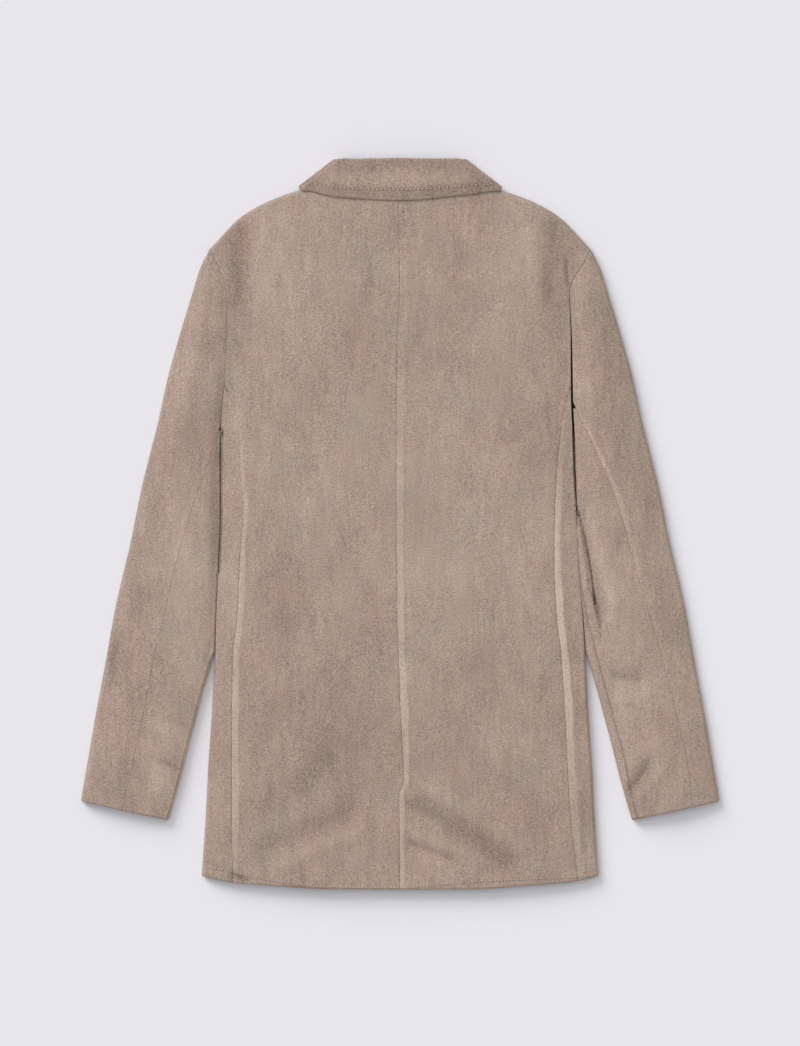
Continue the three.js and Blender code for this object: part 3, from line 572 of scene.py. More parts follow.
def parted(grid, side, away):
    """Moves the top edge of body or sleeve off the other by half their parting, and the cloth beside it
    less and less with its distance from the edge. The underside stays where it is."""
    y, z = grid[..., 1], grid[..., 2]
    off = np.abs(np.abs(grid[..., 0]) - edge_at(side, y))
    high = smooth((z - UNDERSIDE_TOP) / PARTING_RAMP)
    shift = parting(side, y) / 2 * (1 - smooth(off / PARTING_REACH)) * high
    return grid + np.stack([side * away * shift, 0 * z, 0 * z], -1)


def front_outer_at(side, y):
    return edge_at(side, y) - FRONT_SEAM.read("inset", y)


def hem_at(x):
    return HEM.read("y", np.abs(x))


def fold_height(x, y, folds):
    """Sum over the folds of height times exp(-4 (off^2 + beyond^2) / width^2), where off is the distance
    across the bowed line and beyond the distance past its ends."""
    total = np.zeros(np.broadcast(x, y).shape)
    for values in folds.values():
        fold = dict(zip(FOLD_COLUMNS, values))
        dx, dy = fold["x1"] - fold["x0"], fold["y1"] - fold["y0"]
        length = np.hypot(dx, dy)
        along = ((x - fold["x0"]) * dx + (y - fold["y0"]) * dy) / length
        share = clamp(along / length, 0, 1)
        off = ((x - fold["x0"]) * dy - (y - fold["y0"]) * dx) / length - fold["bow"] * 4 * share * (1 - share)
        beyond = np.maximum(0, np.maximum(-along, along - length))
        total += fold["height"] * np.exp(-4 * (off * off + beyond * beyond) / fold["width"] ** 2)
    return total


def swell_height(x, y):
    """Sum of sine waves that run aslant over the cloth."""
    total = np.zeros(np.broadcast(x, y).shape)
    for values in SWELLS:
        swell = dict(zip(SWELL_COLUMNS, values))
        waves = x / swell["along_x"] + y / swell["along_y"]
        total += swell["height"] * np.sin(2 * np.pi * waves + swell["phase"])
    return total


def body_height(side, x, y):
    """Top of the body: the edge height, rising to the middle height away from sides and shoulders."""
    edge = BODY.read("edge_height", y)
    middle = BODY.read("middle_height", y)
    from_side = np.maximum(0, edge_at(side, y) - BODY_SIDE_FOLD - x)
    from_shoulder = np.maximum(0, BACK_TOP.read("rim", np.abs(x)) - SHOULDER_FOLD - y)
    inside = np.minimum(1, np.minimum(from_side, from_shoulder) / FOLD_EASE)
    rise = domed(from_side / SIDE_LOFT_REACH) * domed(from_shoulder / SHOULDER_LOFT_REACH)
    return edge + (middle - edge) * rise + inside * fold_height(side * x, y, FOLDS)


def front_lift(side, x, y):
    """How high the fronts lie: over the collar leaves, and the left one over the right one."""
    leaf = smooth((y - LIFT_START.read("y", x)) / LEAF_RAMP)
    lap = smooth((LAP_FROM - x) / LAP_RAMP) if side < 0 else 0 * x
    return np.maximum(LEAF_LIFT * leaf, LAP_LIFT * lap)


def fold_turn(y):
    """Angle to which a side fold is cut away above the underarm."""
    return np.pi / 2 * smooth((UNDERARM_Y + UNDERARM_DIP - y) / UNDERARM_DIP)


def row_y(row, bottom, top):
    """The y of a row on a column that runs from its own hem point to its own upper end."""
    low = blend(bottom, HEM_ROW, (row - LOWEST_ROW) / (HEM_ROW - LOWEST_ROW))
    high = blend(ARMHOLE_Y, top, (row - ARMHOLE_Y) / (TOP_ROW - ARMHOLE_Y))
    return np.where(row < HEM_ROW, low, np.where(row <= ARMHOLE_Y, row, high))


def column_top(table, line_at, count):
    """Where each column reaches its upper boundary, by halving the interval, and how far it turns there."""
    low, high = np.full(count, float(ARMHOLE_Y)), np.full(count, float(COLLAR_TOP_Y))
    for _ in range(30):
        middle = (low + high) / 2
        under = middle < table.read("y", line_at(middle))
        low, high = np.where(under, middle, low), np.where(under, high, middle)
    turn = np.pi / 2 * table.read("turn", line_at(low))
    return turn, low - SHOULDER_FOLD * np.sin(turn)


def curled(side, line_at, row, turn, flat_end, top, down):
    """Part of a back or front past its top row: half an ellipse between the top and the lifted front,
    followed downwards from the back or upwards from the front."""
    angle = (turn - SHOULDER_SEAM_ANGLE) * np.maximum(0, row - TOP_ROW)
    y = flat_end + SHOULDER_FOLD * np.sin(angle)
    low = front_lift(side, line_at(y), y)
    return y, low + (top - low) * (1 + np.cos(angle) * (1 if down else -1)) / 2


def back_surface(side, across, row):
    """Back: across 0 is the centre seam and 1 the outer one; a row past the top turns down at the
    shoulder."""
    across, row = across[None, :], row[:, None]

    def line_at(y):
        start = side * BODY.read("centre", y) + SEAM_GAP / 2
        return blend(start, side_seam_at(side, y) - SEAM_GAP / 2, across)

    turn, flat_end = column_top(BACK_TOP, line_at, across.shape)
    y = row_y(np.minimum(row, TOP_ROW), hem_at(line_at(LOWEST_ROW)), flat_end)
    height = body_height(side, line_at(y), y)
    top = body_height(side, line_at(flat_end), flat_end)
    turned_y, turned_z = curled(side, line_at, row, turn, flat_end, top, True)
    past = row > TOP_ROW
    y = np.where(past, turned_y, y)
    return np.stack([side * line_at(y), y, np.where(past, turned_z, height)], -1)


def front_surface(side, across, row):
    """Front: across 0 is the outer seam and 1 the lapped edge; a row past the top turns up at the
    shoulder."""
    across, row = across[None, :], row[:, None]

    def line_at(y):
        return blend(front_outer_at(side, y) - SEAM_GAP / 2, -FRONT_OVERLAP, across)

    turn, flat_end = column_top(FRONT_TOP, line_at, across.shape)
    y = row_y(np.minimum(row, TOP_ROW), hem_at(line_at(LOWEST_ROW)), flat_end)
    lift = front_lift(side, line_at(y), y)
    top = body_height(side, line_at(flat_end), flat_end)
    turned_y, turned_z = curled(side, line_at, row, turn, flat_end, top, False)
    past = row > TOP_ROW
    y = np.where(past, turned_y, y)
    return np.stack([side * line_at(y), y, np.where(past, turned_z, lift)], -1)


def side_span(side, above, y):
    """A side panel at y: its seam, the end of its flat part, and the lengths of that part and of its fold."""
    turn = fold_turn(y)
    seam = np.where(above, side_seam_at(side, y), front_outer_at(side, y)) + SEAM_GAP / 2
    edge = edge_at(side, y) - SEAM_GAP / 2
    flat_end = np.maximum(edge - side_fold(side, y) * np.sin(turn), seam)
    return seam, flat_end, flat_end - seam, SIDE_FOLD_ARC * turn


def side_surface(side, girth, row):
    """Side panel: girth runs from the side-back seam at -2 along the top to -1, round the fold to 1, and
    along the underside to the front seam at 2. Above the underarm each column leans to the armhole edge,
    where it ends."""
    girth, row = girth[None, :], row[:, None]
    above = girth < 0
    reach = 2 - np.abs(girth)
    top_y = blend(ARMHOLE_Y, SIDE_POINT_Y, reach / 2)
    lean = clamp((row - UNDERARM_Y) / (ARMHOLE_Y - UNDERARM_Y), 0, 1)
    low_seam, _, low_flat, _ = side_span(side, above, LOWEST_ROW)
    hem_y = hem_at(low_seam + np.minimum(1, reach) * low_flat)
    y = np.where(row <= UNDERARM_Y, row_y(row, hem_y, top_y), blend(UNDERARM_Y, top_y, lean))
    seam, flat_end, flat, fold = side_span(side, above, y)
    _, _, start_flat, start_fold = side_span(side, above, np.minimum(y, UNDERARM_Y))
    _, _, end_flat, end_fold = side_span(side, above, top_y)
    start = np.minimum(1, reach) * start_flat + np.maximum(0, reach - 1) * start_fold
    off = np.minimum(blend(start, end_flat + end_fold, lean), flat + fold)
    angle = np.maximum(0, off - flat) / SIDE_FOLD_ARC
    x = seam + np.minimum(off, flat) + side_fold(side, y) * np.sin(angle)
    height = body_height(side, np.minimum(x, flat_end), y)
    z = height * (1 + np.where(above, 1, -1) * np.cos(angle)) / 2
    return np.stack([side * x, y, z], -1)


def armhole_y(side, row):
    """The y of a row on the armhole, the same on sleeve and body, over the shoulder edge too."""
    turn, flat_end = column_top(BACK_TOP, lambda y: edge_at(side, y) - SEAM_GAP / 2, (1, 1))
    angle = (turn - SHOULDER_SEAM_ANGLE) * np.maximum(0, row - TOP_ROW)
    return row_y(np.minimum(row, TOP_ROW), LOWEST_ROW, flat_end) + SHOULDER_FOLD * np.sin(angle)


class SleeveRows:
    """Straight rows across a sleeve, from its inner edge to its outer fold, one for each row value."""

    def __init__(self, side, row):
        self.side = side
        row = row[:, None]
        inner_y = armhole_y(side, row)
        joined = inner_y > SLEEVE_INNER.values["y"][-1]
        beside = edge_at(side, inner_y) + SEAM_GAP / 2
        inner_x = np.where(joined, beside, SLEEVE_INNER.read("x", inner_y))
        across_x = SLEEVE.read("outer_x", inner_y) - inner_x
        across_y = SLEEVE.read("outer_y", inner_y) - inner_y
        self.inner_x, self.inner_y = inner_x, inner_y
        self.width = np.hypot(across_x, across_y)
        self.dir_x, self.dir_y = across_x / self.width, across_y / self.width
        self.turn = fold_turn(inner_y)
        self.outer_fold = np.minimum(SLEEVE_OUTER_FOLD, self.width * 0.45)
        self.fold = side_fold(side, inner_y)
        self.flat_from = self.fold * np.sin(self.turn)
        self.flat = self.width - self.outer_fold - self.flat_from
        self.inner_height = SLEEVE.read("inner_height", inner_y)
        self.outer_height = SLEEVE.read("outer_height", inner_y)
        self.crown = SLEEVE.read("crown", inner_y)

    def point(self, ring):
        """Ring round the sleeve: 0 to 1 along the top outwards, 1 to 2 round the outer fold, 2 to 3 back
        underneath and 3 to 4 up round the inner fold; -1 to 0 is that inner fold again."""
        ring = np.where(ring > 4, ring - 4, ring)
        inner_angle = np.pi * np.where(ring < 0, -ring, 4 - ring)
        outer_angle = np.pi * (ring - 1)
        bulge = self.crown - (self.inner_height + self.outer_height) / 2
        top_z = blend(self.inner_height, self.outer_height, ring) + 4 * bulge * ring * (1 - ring)
        cases = [(ring < 0) | (ring > 3), ring <= 1, ring < 2]
        off = np.select(
            cases,
            [
                self.flat_from - self.fold * np.sin(inner_angle),
                self.flat_from + ring * self.flat,
                self.width - self.outer_fold + self.outer_fold * np.sin(outer_angle),
            ],
            self.flat_from + (3 - ring) * self.flat,
        )
        z = np.select(
            cases,
            [
                self.inner_height * (1 + np.cos(inner_angle)) / 2,
                top_z,
                self.outer_height * (1 + np.cos(outer_angle)) / 2,
            ],
            0 * ring,
        )
        x = self.inner_x + off * self.dir_x
        y = self.inner_y + off * self.dir_y
        inside = np.minimum(1, np.minimum(ring, 1 - ring) / SLEEVE_EASE) * ((ring >= 0) & (ring <= 1))
        return np.stack([self.side * x, y, z + inside * fold_height(self.side * x, y, FOLDS)], -1)

    def back_seam(self):
        """Ring place of the back seam, and how much ring a millimetre is there."""
        off = self.width / 2
        for _ in range(12):
            x = SLEEVE_SEAMS.read(f"{side_name(self.side)}_back", self.inner_y + off * self.dir_y)
            off = clamp((x - self.inner_x) / self.dir_x, self.flat_from, self.width)
        return (off - self.flat_from) / self.flat, 1 / self.flat

    def inner_seam(self):
        """Ring place of the inner seam: on the inner fold where it is near the edge, else on the top."""
        inset = SLEEVE_SEAMS.read(f"{side_name(self.side)}_inner", self.inner_y)
        on_top = inset >= self.fold
        angle = np.arcsin(clamp(1 - inset / self.fold, 0, 1))
        ring = np.where(on_top, (inset - self.fold) / self.flat, -angle / np.pi)
        return ring, np.where(on_top, 1 / self.flat, 1 / (4 * self.fold))


def top_sleeve_surface(side, stage, row):
    """Top sleeve: stage 0 to 1 is the top from the back seam or armhole outwards, 1 to 2 the outer fold, 2
    to 4 the underside and the inner fold up to the inner seam."""
    rows = SleeveRows(side, row)
    stage = stage[None, :]
    back, back_mm = rows.back_seam()
    start = back + SEAM_GAP / 2 * back_mm
    margin = np.minimum(RIDGE_MARGIN, rows.flat * (1 - start) * 0.4) * back_mm
    beyond = (stage - SEAM_STAGE) / (1 - SEAM_STAGE)
    top = np.where(beyond <= 0, start + margin * stage / SEAM_STAGE, blend(start + margin, 1, beyond))
    inner, inner_mm = rows.inner_seam()
    end = np.where(rows.inner_y > UNDERARM_Y, 3 + rows.turn / np.pi, 4 + inner - SEAM_GAP / 2 * inner_mm)
    corner = 3 - 0.5 * (1 - np.minimum(1, (end - 3) / 0.5))
    under = np.where(stage <= 3, blend(2, corner, stage - 2), blend(corner, end, stage - 3))
    return rows.point(np.where(stage <= 1, top, np.where(stage <= 2, stage, under)))


def under_sleeve_surface(side, share, row):
    """Under sleeve: share runs from the inner seam, or the armhole edge, to the back seam."""
    rows = SleeveRows(side, row)
    share = share[None, :]
    inner, inner_mm = rows.inner_seam()
    back, back_mm = rows.back_seam()
    start = np.where(rows.inner_y > UNDERARM_Y, -rows.turn / np.pi, inner + SEAM_GAP / 2 * inner_mm)
    end = back - SEAM_GAP / 2 * back_mm
    corner = blend(0, blend(start, end, INNER_STAGE), smooth(start / SLEEVE_EASE + 1))
    beyond = (share - INNER_STAGE) / (1 - INNER_STAGE)
    return rows.point(
        np.where(beyond <= 0, blend(start, corner, share / INNER_STAGE), blend(corner, end, beyond))
    )


def collar_point(along, up, depth, out):
    """Collar band: along runs from the left leaf's end at -3 to its side turn at -2, over the back from -1
    to 1, and the right side the same. up runs from the free edge at 0 to the roll at 1. depth is how far
    the point lies inside the outer face, and out how far it is pushed past the end of the cross line."""
    side = np.where(along < 0, -1, 1)
    share = np.minimum(1, np.abs(along))
    turned = clamp(np.abs(along) - 1, 0, 1)
    leaf = clamp(np.abs(along) - 2, 0, 1)
    swing = np.sin(np.pi * turned)
    slant_x = -COLLAR_SLANT[1] * share**2
    slant_y = np.sqrt(1 - slant_x**2)
    foot_x = COLLAR_FOOT_X * share
    foot_y = COLLAR_FREE_EDGE.read("y", side * foot_x)
    head_x, head_y = COLLAR_ROLL_X * share, COLLAR_TOP_Y - COLLAR_ROLL * slant_y
    flat_x, flat_y = blend(foot_x, head_x, up), blend(foot_y, head_y, up)
    left_top, right_top = (body_height(each, flat_x, flat_y) for each in (-1, 1))
    top = np.where(side < 0, left_top, right_top) + COLLAR_OVER_BACK
    end_x, end_y = head_x - slant_x * COLLAR_TRIM * swing, head_y - slant_y * COLLAR_TRIM * swing
    from_x, from_y = blend(foot_x, LEAF_FREE_CORNER[0], leaf), blend(foot_y, LEAF_FREE_CORNER[1], leaf)
    to_x, to_y = blend(end_x, LEAF_ROLL_CORNER[0], leaf), blend(end_y, LEAF_ROLL_CORNER[1], leaf)
    fold = (COLLAR_SIDE_FOLD - depth) * swing
    length = np.hypot(to_x - from_x, to_y - from_y)
    x = blend(from_x, to_x, up) + COLLAR_SLANT[0] * fold + (to_x - from_x) / length * out
    y = blend(from_y, to_y, up) + COLLAR_SLANT[1] * fold + (to_y - from_y) / length * out
    z = depth + (top - 2 * depth) * (1 + np.cos(np.pi * turned)) / 2
    return np.stack([side * x, y, z], -1)


def fall_surface(along, up, depth):
    """Collar fall with its roll: up runs past 1 round the roll to the inner limb."""
    along, up = along[None, :], up[:, None]
    angle = np.pi * 0.95 * np.maximum(0, up - 1)
    radius = COLLAR_ROLL - depth
    rolled = np.where(up > 1, COLLAR_ROLL - radius * np.cos(angle), depth + 0 * up)
    return collar_point(along, np.minimum(1, up), rolled, radius * np.sin(angle))


def stand_surface(along, up, depth):
    """Collar stand: the hidden band inside the fall."""
    return collar_point(along[None, :], up[:, None], depth, 0.0)


# Grids and meshes

# Distances from a seam at which the grids have columns
SEAM_DISTANCES = np.array([0, 0.25, 0.55, 0.9, 1.3, 1.8, 2.4, 3.2, 4.2, 5.4, 6.4, 7.2, 8.0, 8.9, 10.2, 12.0])


def spread(start, end, step):
    """Even steps from start to end, no longer than step."""
    return np.linspace(start, end, max(2, int(np.ceil(abs(end - start) / step)) + 1))


def seam_steps(length, coarse):
    """Distances across a panel that lie close together near both of its seams and coarse in between."""
    near = SEAM_DISTANCES
    middle = spread(near[-1], length - near[-1], coarse)[1:-1]
    return np.concatenate([near, middle, length - near[::-1]])


def gather(*parts):
    return np.unique(np.round(np.concatenate([np.atleast_1d(np.array(part, float)) for part in parts]), 5))


def margins(grid):
    """Distances over the surface from its first and last column and from its first and last row."""
    across = np.linalg.norm(np.diff(grid, axis=1), axis=2)
    along = np.linalg.norm(np.diff(grid, axis=0), axis=2)
    left = np.concatenate([np.zeros((len(grid), 1)), np.cumsum(across, 1)], 1)
    low = np.concatenate([np.zeros((1, grid.shape[1])), np.cumsum(along, 0)], 0)
    return left, left[:, -1:] - left, low, low[-1:] - low


def outward_normals(grid, side):
    """Cross product of the column and row directions, made unit length; where the surface closes to a
    point, the normal of the row below."""
    normals = np.cross(np.gradient(grid, axis=1), np.gradient(grid, axis=0)) * side
    size = np.linalg.norm(normals, axis=2, keepdims=True)
    for r in range(1, len(grid)):
        lost = size[r, :, 0] < 1e-7
        normals[r, lost] = normals[r - 1, lost]
        size[r, lost] = size[r - 1, lost]
    return normals / np.maximum(size, 1e-9)


def closed_shell(name, outer, inner, tone, flipped):
    """A closed wall between two grids of one size, joined round their rims, with the tone of each point on
    the outer grid and painted shade, nearly black, on the inner grid.
    """
    rows, columns = outer.shape[:2]
    points = np.concatenate([outer.reshape(-1, 3), inner.reshape(-1, 3)]) * MM
    at = np.arange(rows * columns).reshape(rows, columns)
    inside = at + rows * columns
    quads = [
        np.stack([at[:-1, :-1], at[:-1, 1:], at[1:, 1:], at[1:, :-1]], -1).reshape(-1, 4),
        np.stack([inside[:-1, :-1], inside[1:, :-1], inside[1:, 1:], inside[:-1, 1:]], -1).reshape(-1, 4),
        np.stack([at[0, 1:], at[0, :-1], inside[0, :-1], inside[0, 1:]], -1),
        np.stack([at[-1, :-1], at[-1, 1:], inside[-1, 1:], inside[-1, :-1]], -1),
        np.stack([at[:-1, 0], at[1:, 0], inside[1:, 0], inside[:-1, 0]], -1),
        np.stack([at[1:, -1], at[:-1, -1], inside[:-1, -1], inside[1:, -1]], -1),
    ]
    faces = np.concatenate(quads)
    if flipped:
        faces = faces[:, ::-1]
    mesh = bpy.data.meshes.new(name)
    mesh.vertices.add(len(points))
    mesh.vertices.foreach_set("co", points.astype(np.float32).ravel())
    mesh.loops.add(faces.size)
    mesh.loops.foreach_set("vertex_index", faces.astype(np.int32).ravel())
    mesh.polygons.add(len(faces))
    mesh.polygons.foreach_set("loop_start", np.arange(len(faces), dtype=np.int32) * 4)
    mesh.polygons.foreach_set("use_smooth", np.ones(len(faces), bool))
    mesh.update(calc_edges=True)
    values = np.concatenate([tone.ravel(), np.full(tone.size, INSIDE_PAINTED_SHADE)])
    mesh.attributes.new("tone", "FLOAT", "POINT").data.foreach_set("value", values.astype(np.float32))
    made = bpy.data.objects.new(name, mesh)
    bpy.context.scene.collection.objects.link(made)
    return made


def ridge_shape(distance, along, width):
    """Pressed seam allowance beside a seam: it rises just off the seam, is flat, and falls off softly; its
    width wanders a little along the seam."""
    end = width + 0.5 * np.sin(along / 17.0) + 0.35 * np.sin(along / 6.3 + 1.0)
    return smooth((distance - 0.3) / 1.1) * (1 - smooth((distance - end + 1.0) / 2.0))


def seam_dip(distance):
    """How far cloth rounds down into a seam: deepest at it and gone 1.3 mm from it."""
    return (1 - clamp(distance / 1.3, 0, 1)) ** 2


def side_seam_shown(side, y):
    """How much of the side-back seam shows: all of it on the right, and on the left less and less from 60
    mm below the middle of the jacket to 20 mm above it."""
    return 1.0 if side > 0 else 0.15 + 0.85 * smooth((20 - y) / 80)


def edge_roll(distance):
    """How far cloth rounds down at a turned edge: deepest at it and gone 2.2 mm from it."""
    return (1 - clamp(distance / 2.2, 0, 1)) ** 2


def puckers(distance, along, phase):
    """Small uneven waves that a seam draws into the cloth beside it, dying out over 14 mm."""
    wave = np.sin(along / 3.1 + phase + 1.7 * np.sin(along / 23.0)) + 0.6 * np.sin(along / 7.9 + 2 * phase)
    uneven = 0.55 + 0.45 * np.sin(along / 31.0 + phase)
    return wave * uneven * np.exp(-((distance / 9.0) ** 2)) * smooth(distance / 1.2)


def unit(vectors):
    return vectors / np.maximum(np.linalg.norm(vectors, axis=-1, keepdims=True), 1e-9)


def cloth_piece(node, grid, side, relief, tone, wall):
    """Makes a panel's shell: the grid moved out by the relief, and the grid moved in by the wall, which a
    trough moves along with it."""
    normals = outward_normals(grid, side)
    outer = grid + normals * relief[..., None]
    outer[..., 2] = np.maximum(outer[..., 2], 0)
    inner = grid - normals * (wall - np.minimum(relief, 0))[..., None]
    # The tone gets painted shade and painted light on the folded edges
    made = closed_shell(f"{node}_cloth", outer, inner, tone + painted_edge_shading(normals), side < 0)
    SURFACES[node] = (outer, normals)
    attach(made, "root")
    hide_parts(node)
    made.data.materials.append(suede_material())
    record_cut(made, grid)
    return made


SURFACES = {}
CUTS = {}


def record_cut(made, grid):
    left, _, low, _ = margins(grid)
    width, length = left[:, -1].max() * MM, low[-1].max() * MM
    a, b = grid[1:, 1:] - grid[:-1, :-1], grid[1:, :-1] - grid[:-1, 1:]
    area = np.linalg.norm(np.cross(a, b), axis=2).sum() / 2 * MM * MM
    CUTS[made.name] = [round(width, 3), round(length, 3), round(float(area), 4)]


# Shader tools


class Value:
    """A socket whose operators add Math nodes, so that shader maths reads as an expression."""

    def __init__(self, shader, socket):
        self.shader, self.socket = shader, socket

    def math(self, operation, *values):
        return self.shader.node("ShaderNodeMath", {"operation": operation}, dict(enumerate(values)))

    def __add__(self, other):
        return self.math("ADD", self, other)

    def __radd__(self, other):
        return self.math("ADD", other, self)

    def __sub__(self, other):
        return self.math("SUBTRACT", self, other)

    def __rsub__(self, other):
        return self.math("SUBTRACT", other, self)

    def __mul__(self, other):
        return self.math("MULTIPLY", self, other)

    def __rmul__(self, other):
        return self.math("MULTIPLY", other, self)


class Shader:
    """A material's node tree."""

    def __init__(self, name):
        self.material = bpy.data.materials.new(name)
        self.material.use_nodes = True
        self.tree = self.material.node_tree
        self.tree.nodes.clear()

    def node(self, kind, settings=None, sockets=None, output=0):
        """Adds a node: its settings first, then the values or links of its sockets, by name or number."""
        made = self.tree.nodes.new(kind)
        for name, value in (settings or {}).items():
            if name == "stops":
                while len(made.color_ramp.elements) < len(value):
                    made.color_ramp.elements.new(0.5)
                for element, (position, colour) in zip(made.color_ramp.elements, value):
                    element.position, element.color = position, (*colour, 1)
            else:
                setattr(made, name, value)
        for name, value in (sockets or {}).items():
            if isinstance(value, Value):
                self.tree.links.new(value.socket, made.inputs[name])
            else:
                made.inputs[name].default_value = value
        return Value(self, made.outputs[output])

    def noise(self, place, scale, detail=2.0, roughness=0.5):
        return self.node(
            "ShaderNodeTexNoise",
            {"noise_dimensions": "3D"},
            {"Vector": place, "Scale": scale, "Detail": detail, "Roughness": roughness},
        )

    def stretched(self, place, scale):
        return self.node("ShaderNodeMapping", {}, {"Vector": place, "Scale": scale})

    def mix_colour(self, factor, first, second, blend_type="MIX"):
        return self.node(
            "ShaderNodeMix",
            {"data_type": "RGBA", "blend_type": blend_type},
            {0: factor, 6: first, 7: second},
            output=2,
        )

    def finish(self, surface):
        output = self.tree.nodes.new("ShaderNodeOutputMaterial")
        self.tree.links.new(surface.socket, output.inputs["Surface"])
        return self.material


def linear(red, green, blue):
    """A colour given as 0 to 255 on screen, in the linear values that shaders take."""
    value = np.array([red, green, blue], float) / 255
    value = np.where(value <= 0.04045, value / 12.92, ((value + 0.055) / 1.055) ** 2.4)
    return tuple(float(v) for v in value)


def suede_material():
    """Brushed suede: a taupe ground that wanders between pink and green-beige, upright streaks of nap, short
    dark and pale fibres, and paler or darker cloth by the tone attribute, which holds painted shade and
    painted light besides paler ridges and patches."""
    if "brushed_suede" in bpy.data.materials:
        return bpy.data.materials["brushed_suede"]
    finish = bpy.context.scene.jacket_finish
    base = tuple(finish.colour)
    shader = Shader("brushed_suede")
    place = shader.node("ShaderNodeTexCoord", output=3)
    tone = shader.node("ShaderNodeAttribute", {"attribute_name": "tone"}, output=2)
    pink = (base[0] * 1.03, base[1] * 0.985, base[2] * 0.985, 1)
    green = (base[0] * 0.97, base[1] * 1.015, base[2] * 1.005, 1)
    patch = shader.noise(place, 24.0, 3.0, 0.6)
    speck = shader.noise(shader.stretched(place, (260.0, 230.0, 240.0)), 1.0, 2.0, 0.6)
    mixed = patch * 0.74 + speck * 0.26 + tone * 0.5
    hue = shader.node("ShaderNodeMapRange", {}, {"Value": mixed, 1: 0.36, 2: 0.64})
    ground = shader.mix_colour(hue, pink, green)
    cloud = shader.noise(place, 11.0, 3.0, 0.55)
    streak = shader.noise(shader.stretched(place, (240.0, 34.0, 60.0)), 1.0, 3.0, 0.6)
    brushed = shader.noise(shader.stretched(place, (75.0, 24.0, 60.0)), 1.0, 2.0, 0.5)
    fibre = shader.noise(place, 980.0, 1.0, 0.6)
    fluff = shader.noise(place, 520.0, 2.0, 0.6)
    light = (
        1.0
        + (cloud - 0.5) * finish.patches
        + (streak - 0.5) * finish.streaks
        + (brushed - 0.5) * finish.streaks
        + (fibre - 0.5) * finish.grain * 1.7
        + (fluff - 0.5) * finish.grain * 0.8
        + tone * finish.shade_and_wear
    )
    gray = shader.node("ShaderNodeCombineColor", {}, {0: light, 1: light, 2: light})
    colour = shader.mix_colour(1.0, ground, gray, "MULTIPLY")
    bump = shader.node(
        "ShaderNodeBump",
        {},
        {
            "Height": fibre * 0.6 + fluff * 0.8 + streak * 0.4,
            "Strength": finish.nap_strength,
            "Distance": finish.nap_height,
        },
    )
    surface = shader.node(
        "ShaderNodeBsdfPrincipled",
        {},
        {
            "Base Color": colour,
            "Roughness": 0.86 + (fluff - 0.5) * 0.12,
            "Normal": bump,
            "Specular IOR Level": 0.18,
            "Sheen Weight": finish.sheen,
            "Sheen Roughness": 0.55,
            "Sheen Tint": (1.0, 0.93, 0.87, 1.0),
        },
    )
    return shader.finish(surface)


def thread_material():
    """Sewing thread: pale on the length that shows and with painted shade where it dives into the cloth at
    the needle holes, with a twist across it."""
    if "thread" in bpy.data.materials:
        return bpy.data.materials["thread"]
    base = tuple(bpy.context.scene.jacket_finish.thread)
    shader = Shader("thread")
    place = shader.node("ShaderNodeTexCoord", output=3)
    tone = shader.node("ShaderNodeAttribute", {"attribute_name": "tone"}, output=2)
    twist = shader.noise(place, 1400.0, 1.0, 0.5)
    light = 1.0 + (twist - 0.5) * 0.3 + tone
    gray = shader.node("ShaderNodeCombineColor", {}, {0: light, 1: light, 2: light})
    colour = shader.mix_colour(1.0, (*base, 1.0), gray, "MULTIPLY")
    bump = shader.node("ShaderNodeBump", {}, {"Height": twist, "Strength": 0.4, "Distance": 0.0002})
    surface = shader.node(
        "ShaderNodeBsdfPrincipled",
        {},
        {"Base Color": colour, "Roughness": 0.7, "Normal": bump, "Specular IOR Level": 0.25},
    )
    return shader.finish(surface)


# Sizes and finish that a user would change


class JacketSizes(bpy.types.PropertyGroup):
    ridge_height: bpy.props.FloatProperty(
        name="Seam ridge height", description="How far a pressed seam allowance stands up", default=0.0004,
        min=0.0, max=0.002, subtype="DISTANCE", unit="LENGTH", precision=4,
    )
    pucker_height: bpy.props.FloatProperty(
        name="Pucker height", description="Height of the small waves beside a seam", default=0.00009,
        min=0.0, max=0.001, subtype="DISTANCE", unit="LENGTH", precision=5,
    )
    crease_share: bpy.props.FloatProperty(
        name="Crease share", description="Share of the height of the fine creases", default=1.0,
        min=0.0, max=2.0, subtype="FACTOR",
    )
    grid_step: bpy.props.FloatProperty(
        name="Mesh step", description="Spacing of the mesh points on the large panels", default=0.0026,
        min=0.001, max=0.01, subtype="DISTANCE", unit="LENGTH", precision=4,
    )


